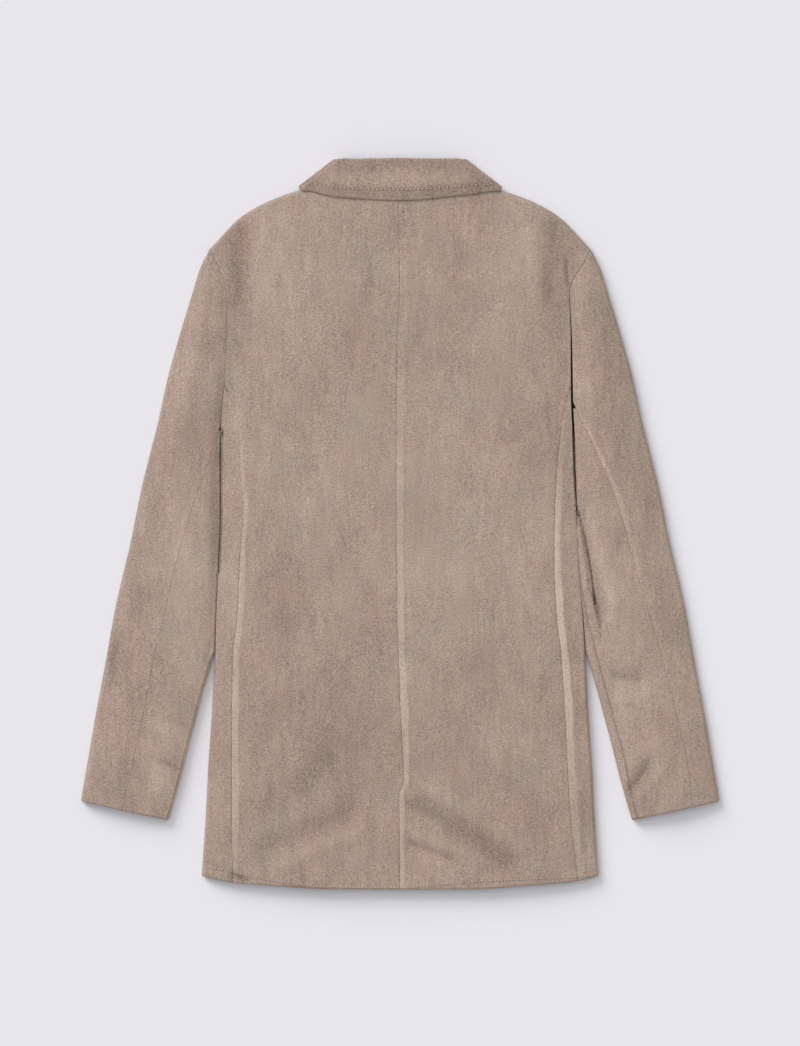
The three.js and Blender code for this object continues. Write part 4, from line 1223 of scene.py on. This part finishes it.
class JacketFinish(bpy.types.PropertyGroup):
    colour: bpy.props.FloatVectorProperty(
        name="Suede colour", description="Ground colour of the suede", default=linear(170, 150, 137),
        size=3, min=0.0, max=1.0, subtype="COLOR",
    )
    thread: bpy.props.FloatVectorProperty(
        name="Thread colour", description="Colour of the sewing thread", default=linear(198, 178, 163),
        size=3, min=0.0, max=1.0, subtype="COLOR",
    )
    patches: bpy.props.FloatProperty(
        name="Patches", description="Strength of the large light and dark patches", default=0.5,
        min=0.0, max=1.0, subtype="FACTOR",
    )
    streaks: bpy.props.FloatProperty(
        name="Streaks", description="Strength of the upright streaks in the nap", default=0.34,
        min=0.0, max=1.0, subtype="FACTOR",
    )
    grain: bpy.props.FloatProperty(
        name="Grain", description="Strength of the short fibres", default=0.9,
        min=0.0, max=2.0, subtype="FACTOR",
    )
    # Scales the whole tone attribute: painted shade in hollows, creases, seams, on folded edges and inner
    # faces, painted light on swells and edges, and the paler ridges and patches
    shade_and_wear: bpy.props.FloatProperty(
        name="Shade and wear", description="How much paler rubbed ridges are and how much darker hollows are",
        default=1.0, min=0.0, max=2.0, subtype="FACTOR",
    )
    sheen: bpy.props.FloatProperty(
        name="Sheen", description="Soft edge shine of the nap", default=0.12,
        min=0.0, max=1.0, subtype="FACTOR",
    )
    nap_strength: bpy.props.FloatProperty(
        name="Nap strength", description="Strength of the nap's relief", default=0.55,
        min=0.0, max=1.0, subtype="FACTOR",
    )
    nap_height: bpy.props.FloatProperty(
        name="Nap height", description="Height of the nap", default=0.0005,
        min=0.0, max=0.003, subtype="DISTANCE", unit="LENGTH", precision=5,
    )


# The pieces


# Lights far away: energy, angle that each fills, tilt from straight above, and heading towards it from +X
SUNS = [
    ("low_window", 2.3, 0.6, 63.0, 129.3),
    ("ceiling", 0.68, 0.9, 10.0, 129.3),
]


def panel_rows(sizes, curl):
    step = sizes.grid_step / MM
    rows = [spread(LOWEST_ROW, LOWEST_ROW + 14, 0.8), spread(LOWEST_ROW + 14, TOP_ROW, step)]
    if curl:
        rows.append(TOP_ROW + np.linspace(0, 1, 9))
    return gather(*rows)


def cloth_relief(grid, sizes):
    """Fine creases and slow swells, on the top surface only."""
    x, y, z = grid[..., 0], grid[..., 1], grid[..., 2]
    above = smooth((z - 6.0) / 3.0)
    return above * (sizes.crease_share * fold_height(x, y, FINE_FOLDS) + swell_height(x, y))


def cloth_shade_and_tone(grid):
    """Painted shade and painted light of the cloth: hollows are painted darker and swells paler, narrow
    creases most of all, and each patch adds tone times exp(-(dx / reach_x)^2 - (dy / reach_y)^2)."""
    x, y, z = grid[..., 0], grid[..., 1], grid[..., 2]
    sharp = {name: values for name, values in FINE_FOLDS.items() if values[5] < SHARP_WIDTH}
    tone = FINE_FOLD_TONE * fold_height(x, y, FINE_FOLDS) + FOLD_TONE * fold_height(x, y, FOLDS)
    tone += SHARP_FOLD_TONE * fold_height(x, y, sharp)
    for values in SHADE_AND_TONE_PATCHES.values():
        patch = dict(zip(PATCH_COLUMNS, values))
        across = (x - patch["x"]) / patch["reach_x"]
        along = (y - patch["y"]) / patch["reach_y"]
        tone = tone + patch["tone"] * np.exp(-across * across - along * along)
    return tone * smooth((z - 3.0) / 4.0)


def painted_edge_shading(normals):
    """Painted shade on folded edges that face the upper left, towards the lights, and painted light on the
    edges that face away, so that edges on that side look darker and the others paler."""
    facing = UPPER_LEFT[0] * normals[..., 0] + UPPER_LEFT[1] * normals[..., 1]
    strength = np.where(facing > 0, -0.2, 0.3)
    return strength * np.abs(facing) * smooth((0.97 - normals[..., 2]) / 0.5) * smooth(normals[..., 2] / 0.2)


class JACKET_OT_backs(bpy.types.Operator):
    """Makes the two backs, from the centre-back seam to the side-back seams and armholes"""

    bl_idname = "jacket.backs"
    bl_label = "Backs"

    def execute(self, context):
        sizes = context.scene.jacket_sizes
        for side in (-1, 1):
            columns = seam_steps(180.0, sizes.grid_step / MM) / 180.0
            grid = parted(back_surface(side, columns, panel_rows(sizes, True)), side, -1)
            centre, outer, low, _ = margins(grid)
            y = grid[..., 1]
            if side > 0:
                strength = CENTRE_RIDGE.read("share", y)
                ridge = strength * ridge_shape(centre, y, CENTRE_RIDGE.read("width", y))
                pale = CENTRE_RIDGE_TONE * ridge
            else:
                strength = LEFT_RIDGE.read("share", y)
                ridge = strength * ridge_shape(outer, y, LEFT_RIDGE.read("width", y))
                cord = smooth((y - 232) / 16) * np.exp(-(((outer - 2.1) / 1.0) ** 2))
                pale = LEFT_RIDGE_TONE * ridge + 0.1 * cord
                ridge = ridge + 0.9 * cord
            relief = cloth_relief(grid, sizes)
            relief += ridge * sizes.ridge_height / MM
            relief += sizes.pucker_height / MM * (puckers(centre, y, 0.3) + puckers(outer, y, 1.9))
            shown = side_seam_shown(side, y)
            relief -= SEAM_DEPTH * seam_dip(centre) + SEAM_DEPTH * shown * seam_dip(outer)
            relief -= EDGE_DEPTH * edge_roll(low)
            tone = cloth_shade_and_tone(grid) + pale
            # Painted shade in the dips of the centre and side-back seams
            tone -= CENTRE_SEAM_TONE * seam_dip(centre) + SEAM_TONE * shown * seam_dip(outer)
            cloth_piece(f"back_{side_name(side)}", grid, side, relief, tone, CLOTH_WALL)
        return {"FINISHED"}


class JACKET_OT_sides(bpy.types.Operator):
    """Makes the two side panels, folded round from the back to the fronts"""

    bl_idname = "jacket.sides"
    bl_label = "Side panels"

    def execute(self, context):
        sizes = context.scene.jacket_sizes
        for side in (-1, 1):
            near = SEAM_DISTANCES[:-1] / 20.0
            girth = gather(-2 + near, spread(-1.49, -1, 0.1), spread(-1, 1, 0.08), spread(1, 2, 0.09))
            rows = panel_rows(sizes, False)
            rows = gather(rows[rows <= ARMHOLE_Y], ARMHOLE_Y)
            grid = parted(side_surface(side, girth, rows), side, -1)
            back, front, low, _ = margins(grid)
            y = grid[..., 1]
            strength = RIDGE_ON_SIDE[side] * RIGHT_RIDGE.read("share", y)
            ridge = strength * ridge_shape(back, y, RIGHT_RIDGE.read("width", y))
            relief = cloth_relief(grid, sizes) + ridge * sizes.ridge_height / MM
            relief += sizes.pucker_height / MM * puckers(back, y, 1.9)
            shown = side_seam_shown(side, y)
            relief -= SEAM_DEPTH * shown * seam_dip(back) + SEAM_DEPTH * seam_dip(front)
            relief -= EDGE_DEPTH * edge_roll(low)
            relief *= smooth((SIDE_RELIEF_TOP - y) / 12)
            # Painted shade in the dip of the side-back seam
            tone = cloth_shade_and_tone(grid) + RIGHT_RIDGE_TONE * ridge - SEAM_TONE * shown * seam_dip(back)
            cloth_piece(f"side_{side_name(side)}", grid, side, relief, tone, CLOTH_WALL)
        return {"FINISHED"}


class JACKET_OT_fronts(bpy.types.Operator):
    """Makes the two plain fronts on the underside"""

    bl_idname = "jacket.fronts"
    bl_label = "Fronts"

    def execute(self, context):
        for side in (-1, 1):
            rows = gather(spread(LOWEST_ROW, TOP_ROW, 7.0), TOP_ROW + np.linspace(0, 1, 9))
            grid = front_surface(side, np.linspace(0, 1, 48), rows)
            name = f"front_{side_name(side)}"
            none = np.zeros(grid.shape[:2])
            cloth_piece(name, grid, side, none, none - 0.1, CLOTH_WALL)
        return {"FINISHED"}


class JACKET_OT_sleeves(bpy.types.Operator):
    """Makes the two-piece sleeves: top sleeves round both folds, and under sleeves between their seams"""

    bl_idname = "jacket.sleeves"
    bl_label = "Sleeves"

    def execute(self, context):
        sizes = context.scene.jacket_sizes
        pucker = sizes.pucker_height / MM
        for side in (-1, 1):
            name = side_name(side)
            ridge_top = UNDER_SLEEVE_TOP[name]
            near = SEAM_DISTANCES[SEAM_DISTANCES < RIDGE_MARGIN]
            stage = gather(
                near / RIDGE_MARGIN * SEAM_STAGE,
                spread(SEAM_STAGE, 1, 0.035),
                spread(1, 2, 0.06),
                spread(2, 3, 0.06),
                spread(3, 4, 0.035),
            )
            low_rows = gather(spread(-311.5, -300, 0.9), spread(-300, TOP_ROW, sizes.grid_step / MM))
            rows = gather(low_rows, TOP_ROW + np.linspace(0, 1, 9))
            grid = parted(top_sleeve_surface(side, stage, rows), side, 1)
            back, inner, low, _ = margins(grid)
            y = grid[..., 1]
            ridge = SLEEVE_RIDGE.read(name, y) * ridge_shape(back, y, SLEEVE_RIDGE.read("width", y))
            relief = cloth_relief(grid, sizes) + ridge * sizes.ridge_height / MM
            relief += pucker * (puckers(back, y, 3.2) + 2.2 * puckers(inner, y, 0.8))
            relief -= BACK_SEAM_DEPTH * seam_dip(back) + SEAM_DEPTH * seam_dip(inner)
            relief -= EDGE_DEPTH * edge_roll(low)
            # Painted shade in the dip of the sleeve's back seam
            tone = cloth_shade_and_tone(grid) + SLEEVE_RIDGE_TONE * ridge - BACK_SEAM_TONE * seam_dip(back)
            cloth_piece(f"sleeve_top_{name}", grid, side, relief, tone, CLOTH_WALL)

            near = SEAM_DISTANCES[SEAM_DISTANCES < 9] / 60.0
            share = gather(spread(0, INNER_STAGE, 0.008), spread(INNER_STAGE, 0.85, 0.024), 1 - near)
            rows = gather(low_rows[low_rows <= ridge_top], spread(-96, 34, 1.2), ridge_top)
            grid = parted(under_sleeve_surface(side, share, rows), side, 1)
            inner, back, low, _ = margins(grid)
            y = grid[..., 1]
            relief = cloth_relief(grid, sizes)
            relief += pucker * (puckers(back, y, 3.2) + 1.6 * puckers(inner, y, 0.8))
            relief -= BACK_SEAM_DEPTH * seam_dip(back) + SEAM_DEPTH * seam_dip(inner)
            relief -= EDGE_DEPTH * edge_roll(low)
            relief *= smooth((ridge_top - y) / 10)
            # Painted shade in the dips of the back and inner seams
            tone = cloth_shade_and_tone(grid) - BACK_SEAM_TONE * seam_dip(back) - INNER_SEAM_TONE * seam_dip(inner)
            cloth_piece(f"sleeve_under_{name}", grid, side, relief, tone, CLOTH_WALL)
        return {"FINISHED"}


class JACKET_OT_collar(bpy.types.Operator):
    """Makes the turned-down collar fall with its roll, and the stand hidden in it"""

    bl_idname = "jacket.collar"
    bl_label = "Collar"

    def execute(self, context):
        along = gather(
            spread(-3, -2, 0.03),
            spread(-2, -1, 0.03),
            spread(-1, 1, 0.02),
            spread(1, 2, 0.03),
            spread(2, 3, 0.03),
        )
        near = np.array([0, 0.3, 0.7, 1.2, 1.8, 2.4]) / 44.0
        up = gather(near, spread(0.07, 1, 0.03), spread(1, 2, 0.08))
        grid = self.with_low_tips(fall_surface(along, up, 0.0))
        _, _, low, _ = margins(grid)
        normals = outward_normals(grid, 1)
        groove = np.exp(-(((low - COLLAR_STITCH_INSET) / 1.2) ** 2))
        settled = 1 - smooth(low / 16)
        relief = 0.6 * swell_height(grid[..., 0] * 1.7, grid[..., 1]) - 0.5 * edge_roll(low) - 0.2 * groove
        relief = (relief - 1.5 * settled) * smooth((grid[..., 2] - 7) / 3)
        band = np.exp(-(((low - 23.0) / 9.0) ** 2)) * np.exp(-((grid[..., 0] / 75.0) ** 4))
        # Painted shade in the groove of the stitch row, painted light along the middle of the fall so that
        # its roll and ends stay darker, and painted shade and light on its folded edges
        tone = COLLAR_TONE + 0.22 * band - 0.08 * groove + painted_edge_shading(normals)
        outer = grid + normals * relief[..., None]
        outer[..., 2] = np.maximum(outer[..., 2], 0)
        wall = COLLAR_WALL - 1.1 * settled
        self.add("collar_fall", grid, outer, self.inside(along, up, wall, relief, normals), tone)
        SURFACES["collar_fall"] = (outer, normals)

        along = gather(spread(-3, -1, 0.08), spread(-1, 1, 0.06), spread(1, 3, 0.08))
        up = np.linspace(STAND_FROM, STAND_TO, 12)
        grid = stand_surface(along, up, STAND_DEPTH)
        inner = stand_surface(along, up, STAND_DEPTH + CLOTH_WALL)
        self.add("collar_stand", grid, grid, inner, 0 * grid[..., 0])
        return {"FINISHED"}

    def with_low_tips(self, grid):
        """The two ends of the free edge reach outwards and down to the shoulder line."""
        x, y = grid[..., 0], grid[..., 1]
        near = smooth((np.abs(x) - 92) / 10) * smooth((364 - y) / 14)
        return grid + np.stack([2.6 * near * np.sign(x), -1.7 * near, 0 * near], -1)

    def inside(self, along, up, wall, relief, normals):
        """Inner face: the form at the wall's depth, lowered as far as the outer face is."""
        inner = self.with_low_tips(fall_surface(along, up, COLLAR_WALL))
        return inner + normals * (COLLAR_WALL - wall + np.minimum(relief, 0))[..., None]

    def add(self, node, grid, outer, inner, tone):
        made = closed_shell(f"{node}_cloth", outer, inner, tone, False)
        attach(made, "root")
        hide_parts(node)
        made.data.materials.append(suede_material())
        record_cut(made, grid)


def resampled(path, pitch):
    """Points at even distances along a path of rows, and the unit directions there."""
    steps = np.linalg.norm(np.diff(path, axis=0), axis=1)
    reached = np.concatenate([[0], np.cumsum(steps)])
    count = int(reached[-1] / pitch)
    places = (np.arange(count) + 0.5) * reached[-1] / count
    points = np.stack([np.interp(places, reached, path[:, i]) for i in range(path.shape[1])], -1)
    directions = np.gradient(points, axis=0)
    return points, directions / np.linalg.norm(directions, axis=1, keepdims=True)


def stitch_row(name, points, directions, normals, length, radius, raised):
    """A row of stitches. Each is a short thread of six-sided rings along its direction that swells in the
    middle and dives into the cloth at both ends, where it gets painted shade for the needle holes."""
    along = np.array([-0.5, -0.4, -0.26, 0.0, 0.26, 0.4, 0.5])
    thick = np.array([0.75, 0.8, 0.95, 1.0, 0.95, 0.8, 0.75])
    lift = np.array([-0.5, -0.35, 0.0, 0.15, 0.0, -0.35, -0.5]) * radius + raised
    # Painted shade at both ends of each stitch, for the needle holes
    shade = np.array([-0.85, -0.8, -0.15, 0.1, -0.15, -0.8, -0.85])
    turn = np.arange(6) * np.pi / 3
    sideways = np.cross(normals, directions)
    spine = points[:, None] + directions[:, None] * (along * length)[None, :, None]
    spine = spine + normals[:, None] * lift[None, :, None]
    ring = (
        sideways[:, None, None] * (np.cos(turn)[None, None, :, None] * thick[None, :, None, None] * radius)
        + normals[:, None, None] * (np.sin(turn)[None, None, :, None] * thick[None, :, None, None] * radius)
    )
    vertices = (spine[:, :, None] + ring).reshape(-1, 3) * MM
    rings, corners = len(along), len(turn)
    at = np.arange(rings * corners).reshape(rings, corners)
    beside = np.roll(at, -1, axis=1)
    walls = np.stack([at[:-1], beside[:-1], beside[1:], at[1:]], -1).reshape(-1, 4)
    faces = []
    for stitch in range(len(points)):
        first = stitch * rings * corners
        faces += (walls + first).tolist()
        faces.append((at[0, ::-1] + first).tolist())
        faces.append((at[-1] + first).tolist())
    mesh = bpy.data.meshes.new(name)
    mesh.from_pydata(vertices.tolist(), [], faces)
    mesh.polygons.foreach_set("use_smooth", np.ones(len(faces), bool))
    tone = np.tile(np.repeat(shade, corners), len(points))
    mesh.attributes.new("tone", "FLOAT", "POINT").data.foreach_set("value", tone.astype(np.float32))
    made = bpy.data.objects.new(name, mesh)
    bpy.context.scene.collection.objects.link(made)
    made.data.materials.append(thread_material())
    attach(made, "root")
    return made


class JACKET_OT_stitching(bpy.types.Operator):
    """Sews the row along the collar's free edge and the row along the hem"""

    bl_idname = "jacket.stitching"
    bl_label = "Stitching"

    def execute(self, context):
        outer, normals = SURFACES["collar_fall"]
        _, _, low, _ = margins(outer)
        path, facing = [], []
        for column in range(outer.shape[1]):
            if outer[0, column, 2] < 8:
                continue
            row = np.searchsorted(low[:, column], COLLAR_STITCH_INSET)
            share = (COLLAR_STITCH_INSET - low[row - 1, column]) / (low[row, column] - low[row - 1, column])
            path.append(blend(outer[row - 1, column], outer[row, column], share))
            facing.append(normals[row, column])
        path, facing = np.array(path), np.array(facing)
        shown = (path[:, 0] > COLLAR_STITCH_SPAN[0]) & (path[:, 0] < COLLAR_STITCH_SPAN[1])
        points, directions = resampled(np.concatenate([path, facing], 1)[shown], COLLAR_PITCH)
        normals = unit(points[:, 3:])
        stitch_row("collar_stitching", points[:, :3], unit(directions[:, :3]), normals, **COLLAR_STITCH)

        x = np.linspace(HEM_STITCHES.values["x"][0], HEM_STITCHES.values["x"][-1], 200)
        path = np.stack([x, HEM_STITCHES.read("y", x)], -1)
        points, directions = resampled(path, HEM_PITCH)
        cloth = [SURFACES[f"{part}_{name}"] for part in ("back", "side") for name in ("left", "right")]
        grids = np.concatenate([grid.reshape(-1, 3) for grid, _ in cloth])
        facing = np.concatenate([facing.reshape(-1, 3) for _, facing in cloth])
        low = (grids[:, 1] < -350) & (facing[:, 2] > 0.2)
        grids, facing = grids[low], facing[low]
        nearest = [np.argmin(np.sum((grids[:, :2] - point) ** 2, 1)) for point in points]
        normals = facing[nearest]
        slope = np.sum((points - grids[nearest, :2]) * normals[:, :2], 1) / normals[:, 2]
        points = np.concatenate([points, (grids[nearest, 2] - slope)[:, None]], 1)
        directions = np.concatenate([directions, np.zeros((len(directions), 1))], 1)
        directions = unit(directions - normals * np.sum(directions * normals, 1)[:, None])
        stitch_row("hem_stitching", points, directions, normals, **HEM_STITCH)
        return {"FINISHED"}


class JACKET_OT_stage(bpy.types.Operator):
    """Makes the pale floor, the soft light and the camera that looks straight down"""

    bl_idname = "jacket.stage"
    bl_label = "Stage"

    def execute(self, context):
        scene = context.scene
        size = 6.0
        mesh = bpy.data.meshes.new("floor")
        corners = [(-size, -size, 0), (size, -size, 0), (size, size, 0), (-size, size, 0)]
        mesh.from_pydata(corners, [], [(0, 1, 2, 3)])
        floor = bpy.data.objects.new("floor", mesh)
        scene.collection.objects.link(floor)
        shader = Shader("pale_floor")
        surface = shader.node(
            "ShaderNodeBsdfPrincipled",
            {},
            {"Base Color": (*linear(238, 237, 242), 1), "Roughness": 0.9, "Specular IOR Level": 0.1},
        )
        mesh.materials.append(shader.finish(surface))

        world = bpy.data.worlds.new("studio")
        world.use_nodes = True
        background = world.node_tree.nodes["Background"]
        background.inputs["Color"].default_value = (1.0, 1.0, 1.0, 1)
        background.inputs["Strength"].default_value = 0.4
        scene.world = world

        for name, energy, angle, tilt, heading in SUNS:
            lamp = bpy.data.lights.new(name, "SUN")
            lamp.energy = energy
            lamp.angle = angle
            light = bpy.data.objects.new(name, lamp)
            light.rotation_euler = (0, np.radians(tilt), np.radians(heading))
            scene.collection.objects.link(light)

        camera = bpy.data.cameras.new("camera")
        camera.type = "PERSP"
        camera.sensor_width = 36.0
        distance = 6.0
        plane = 0.012
        seen_height = 1.0983
        camera.lens = 36.0 * (distance - plane) / seen_height
        camera.clip_end = 50.0
        eye = bpy.data.objects.new("camera", camera)
        eye.location = (-0.0002, 0.001, distance)
        scene.collection.objects.link(eye)
        scene.camera = eye
        scene.view_settings.view_transform = "Standard"
        scene.view_settings.look = "None"
        return {"FINISHED"}


class JACKET_PT_panel(bpy.types.Panel):
    bl_label = "Suede Jacket"
    bl_idname = "JACKET_PT_panel"
    bl_space_type = "VIEW_3D"
    bl_region_type = "UI"
    bl_category = "Jacket"

    def draw(self, context):
        for group in (context.scene.jacket_sizes, context.scene.jacket_finish):
            for name in group.__annotations__:
                self.layout.prop(group, name)
        for operator in OPERATORS:
            self.layout.operator(operator.bl_idname)


OPERATORS = (
    JACKET_OT_stage,
    JACKET_OT_backs,
    JACKET_OT_sides,
    JACKET_OT_fronts,
    JACKET_OT_sleeves,
    JACKET_OT_collar,
    JACKET_OT_stitching,
)
CLASSES = (JacketSizes, JacketFinish, *OPERATORS, JACKET_PT_panel)


def register():
    for cls in CLASSES:
        bpy.utils.register_class(cls)
    bpy.types.Scene.jacket_sizes = bpy.props.PointerProperty(type=JacketSizes)
    bpy.types.Scene.jacket_finish = bpy.props.PointerProperty(type=JacketFinish)


def unregister():
    del bpy.types.Scene.jacket_finish
    del bpy.types.Scene.jacket_sizes
    for cls in reversed(CLASSES):
        bpy.utils.unregister_class(cls)


def main():
    register()
    bpy.ops.jacket.stage()
    bpy.ops.jacket.backs()
    bpy.ops.jacket.sides()
    bpy.ops.jacket.fronts()
    bpy.ops.jacket.sleeves()
    bpy.ops.jacket.collar()
    bpy.ops.jacket.stitching()
    print("cuts", json.dumps(CUTS))


if __name__ == "__main__":
    main()
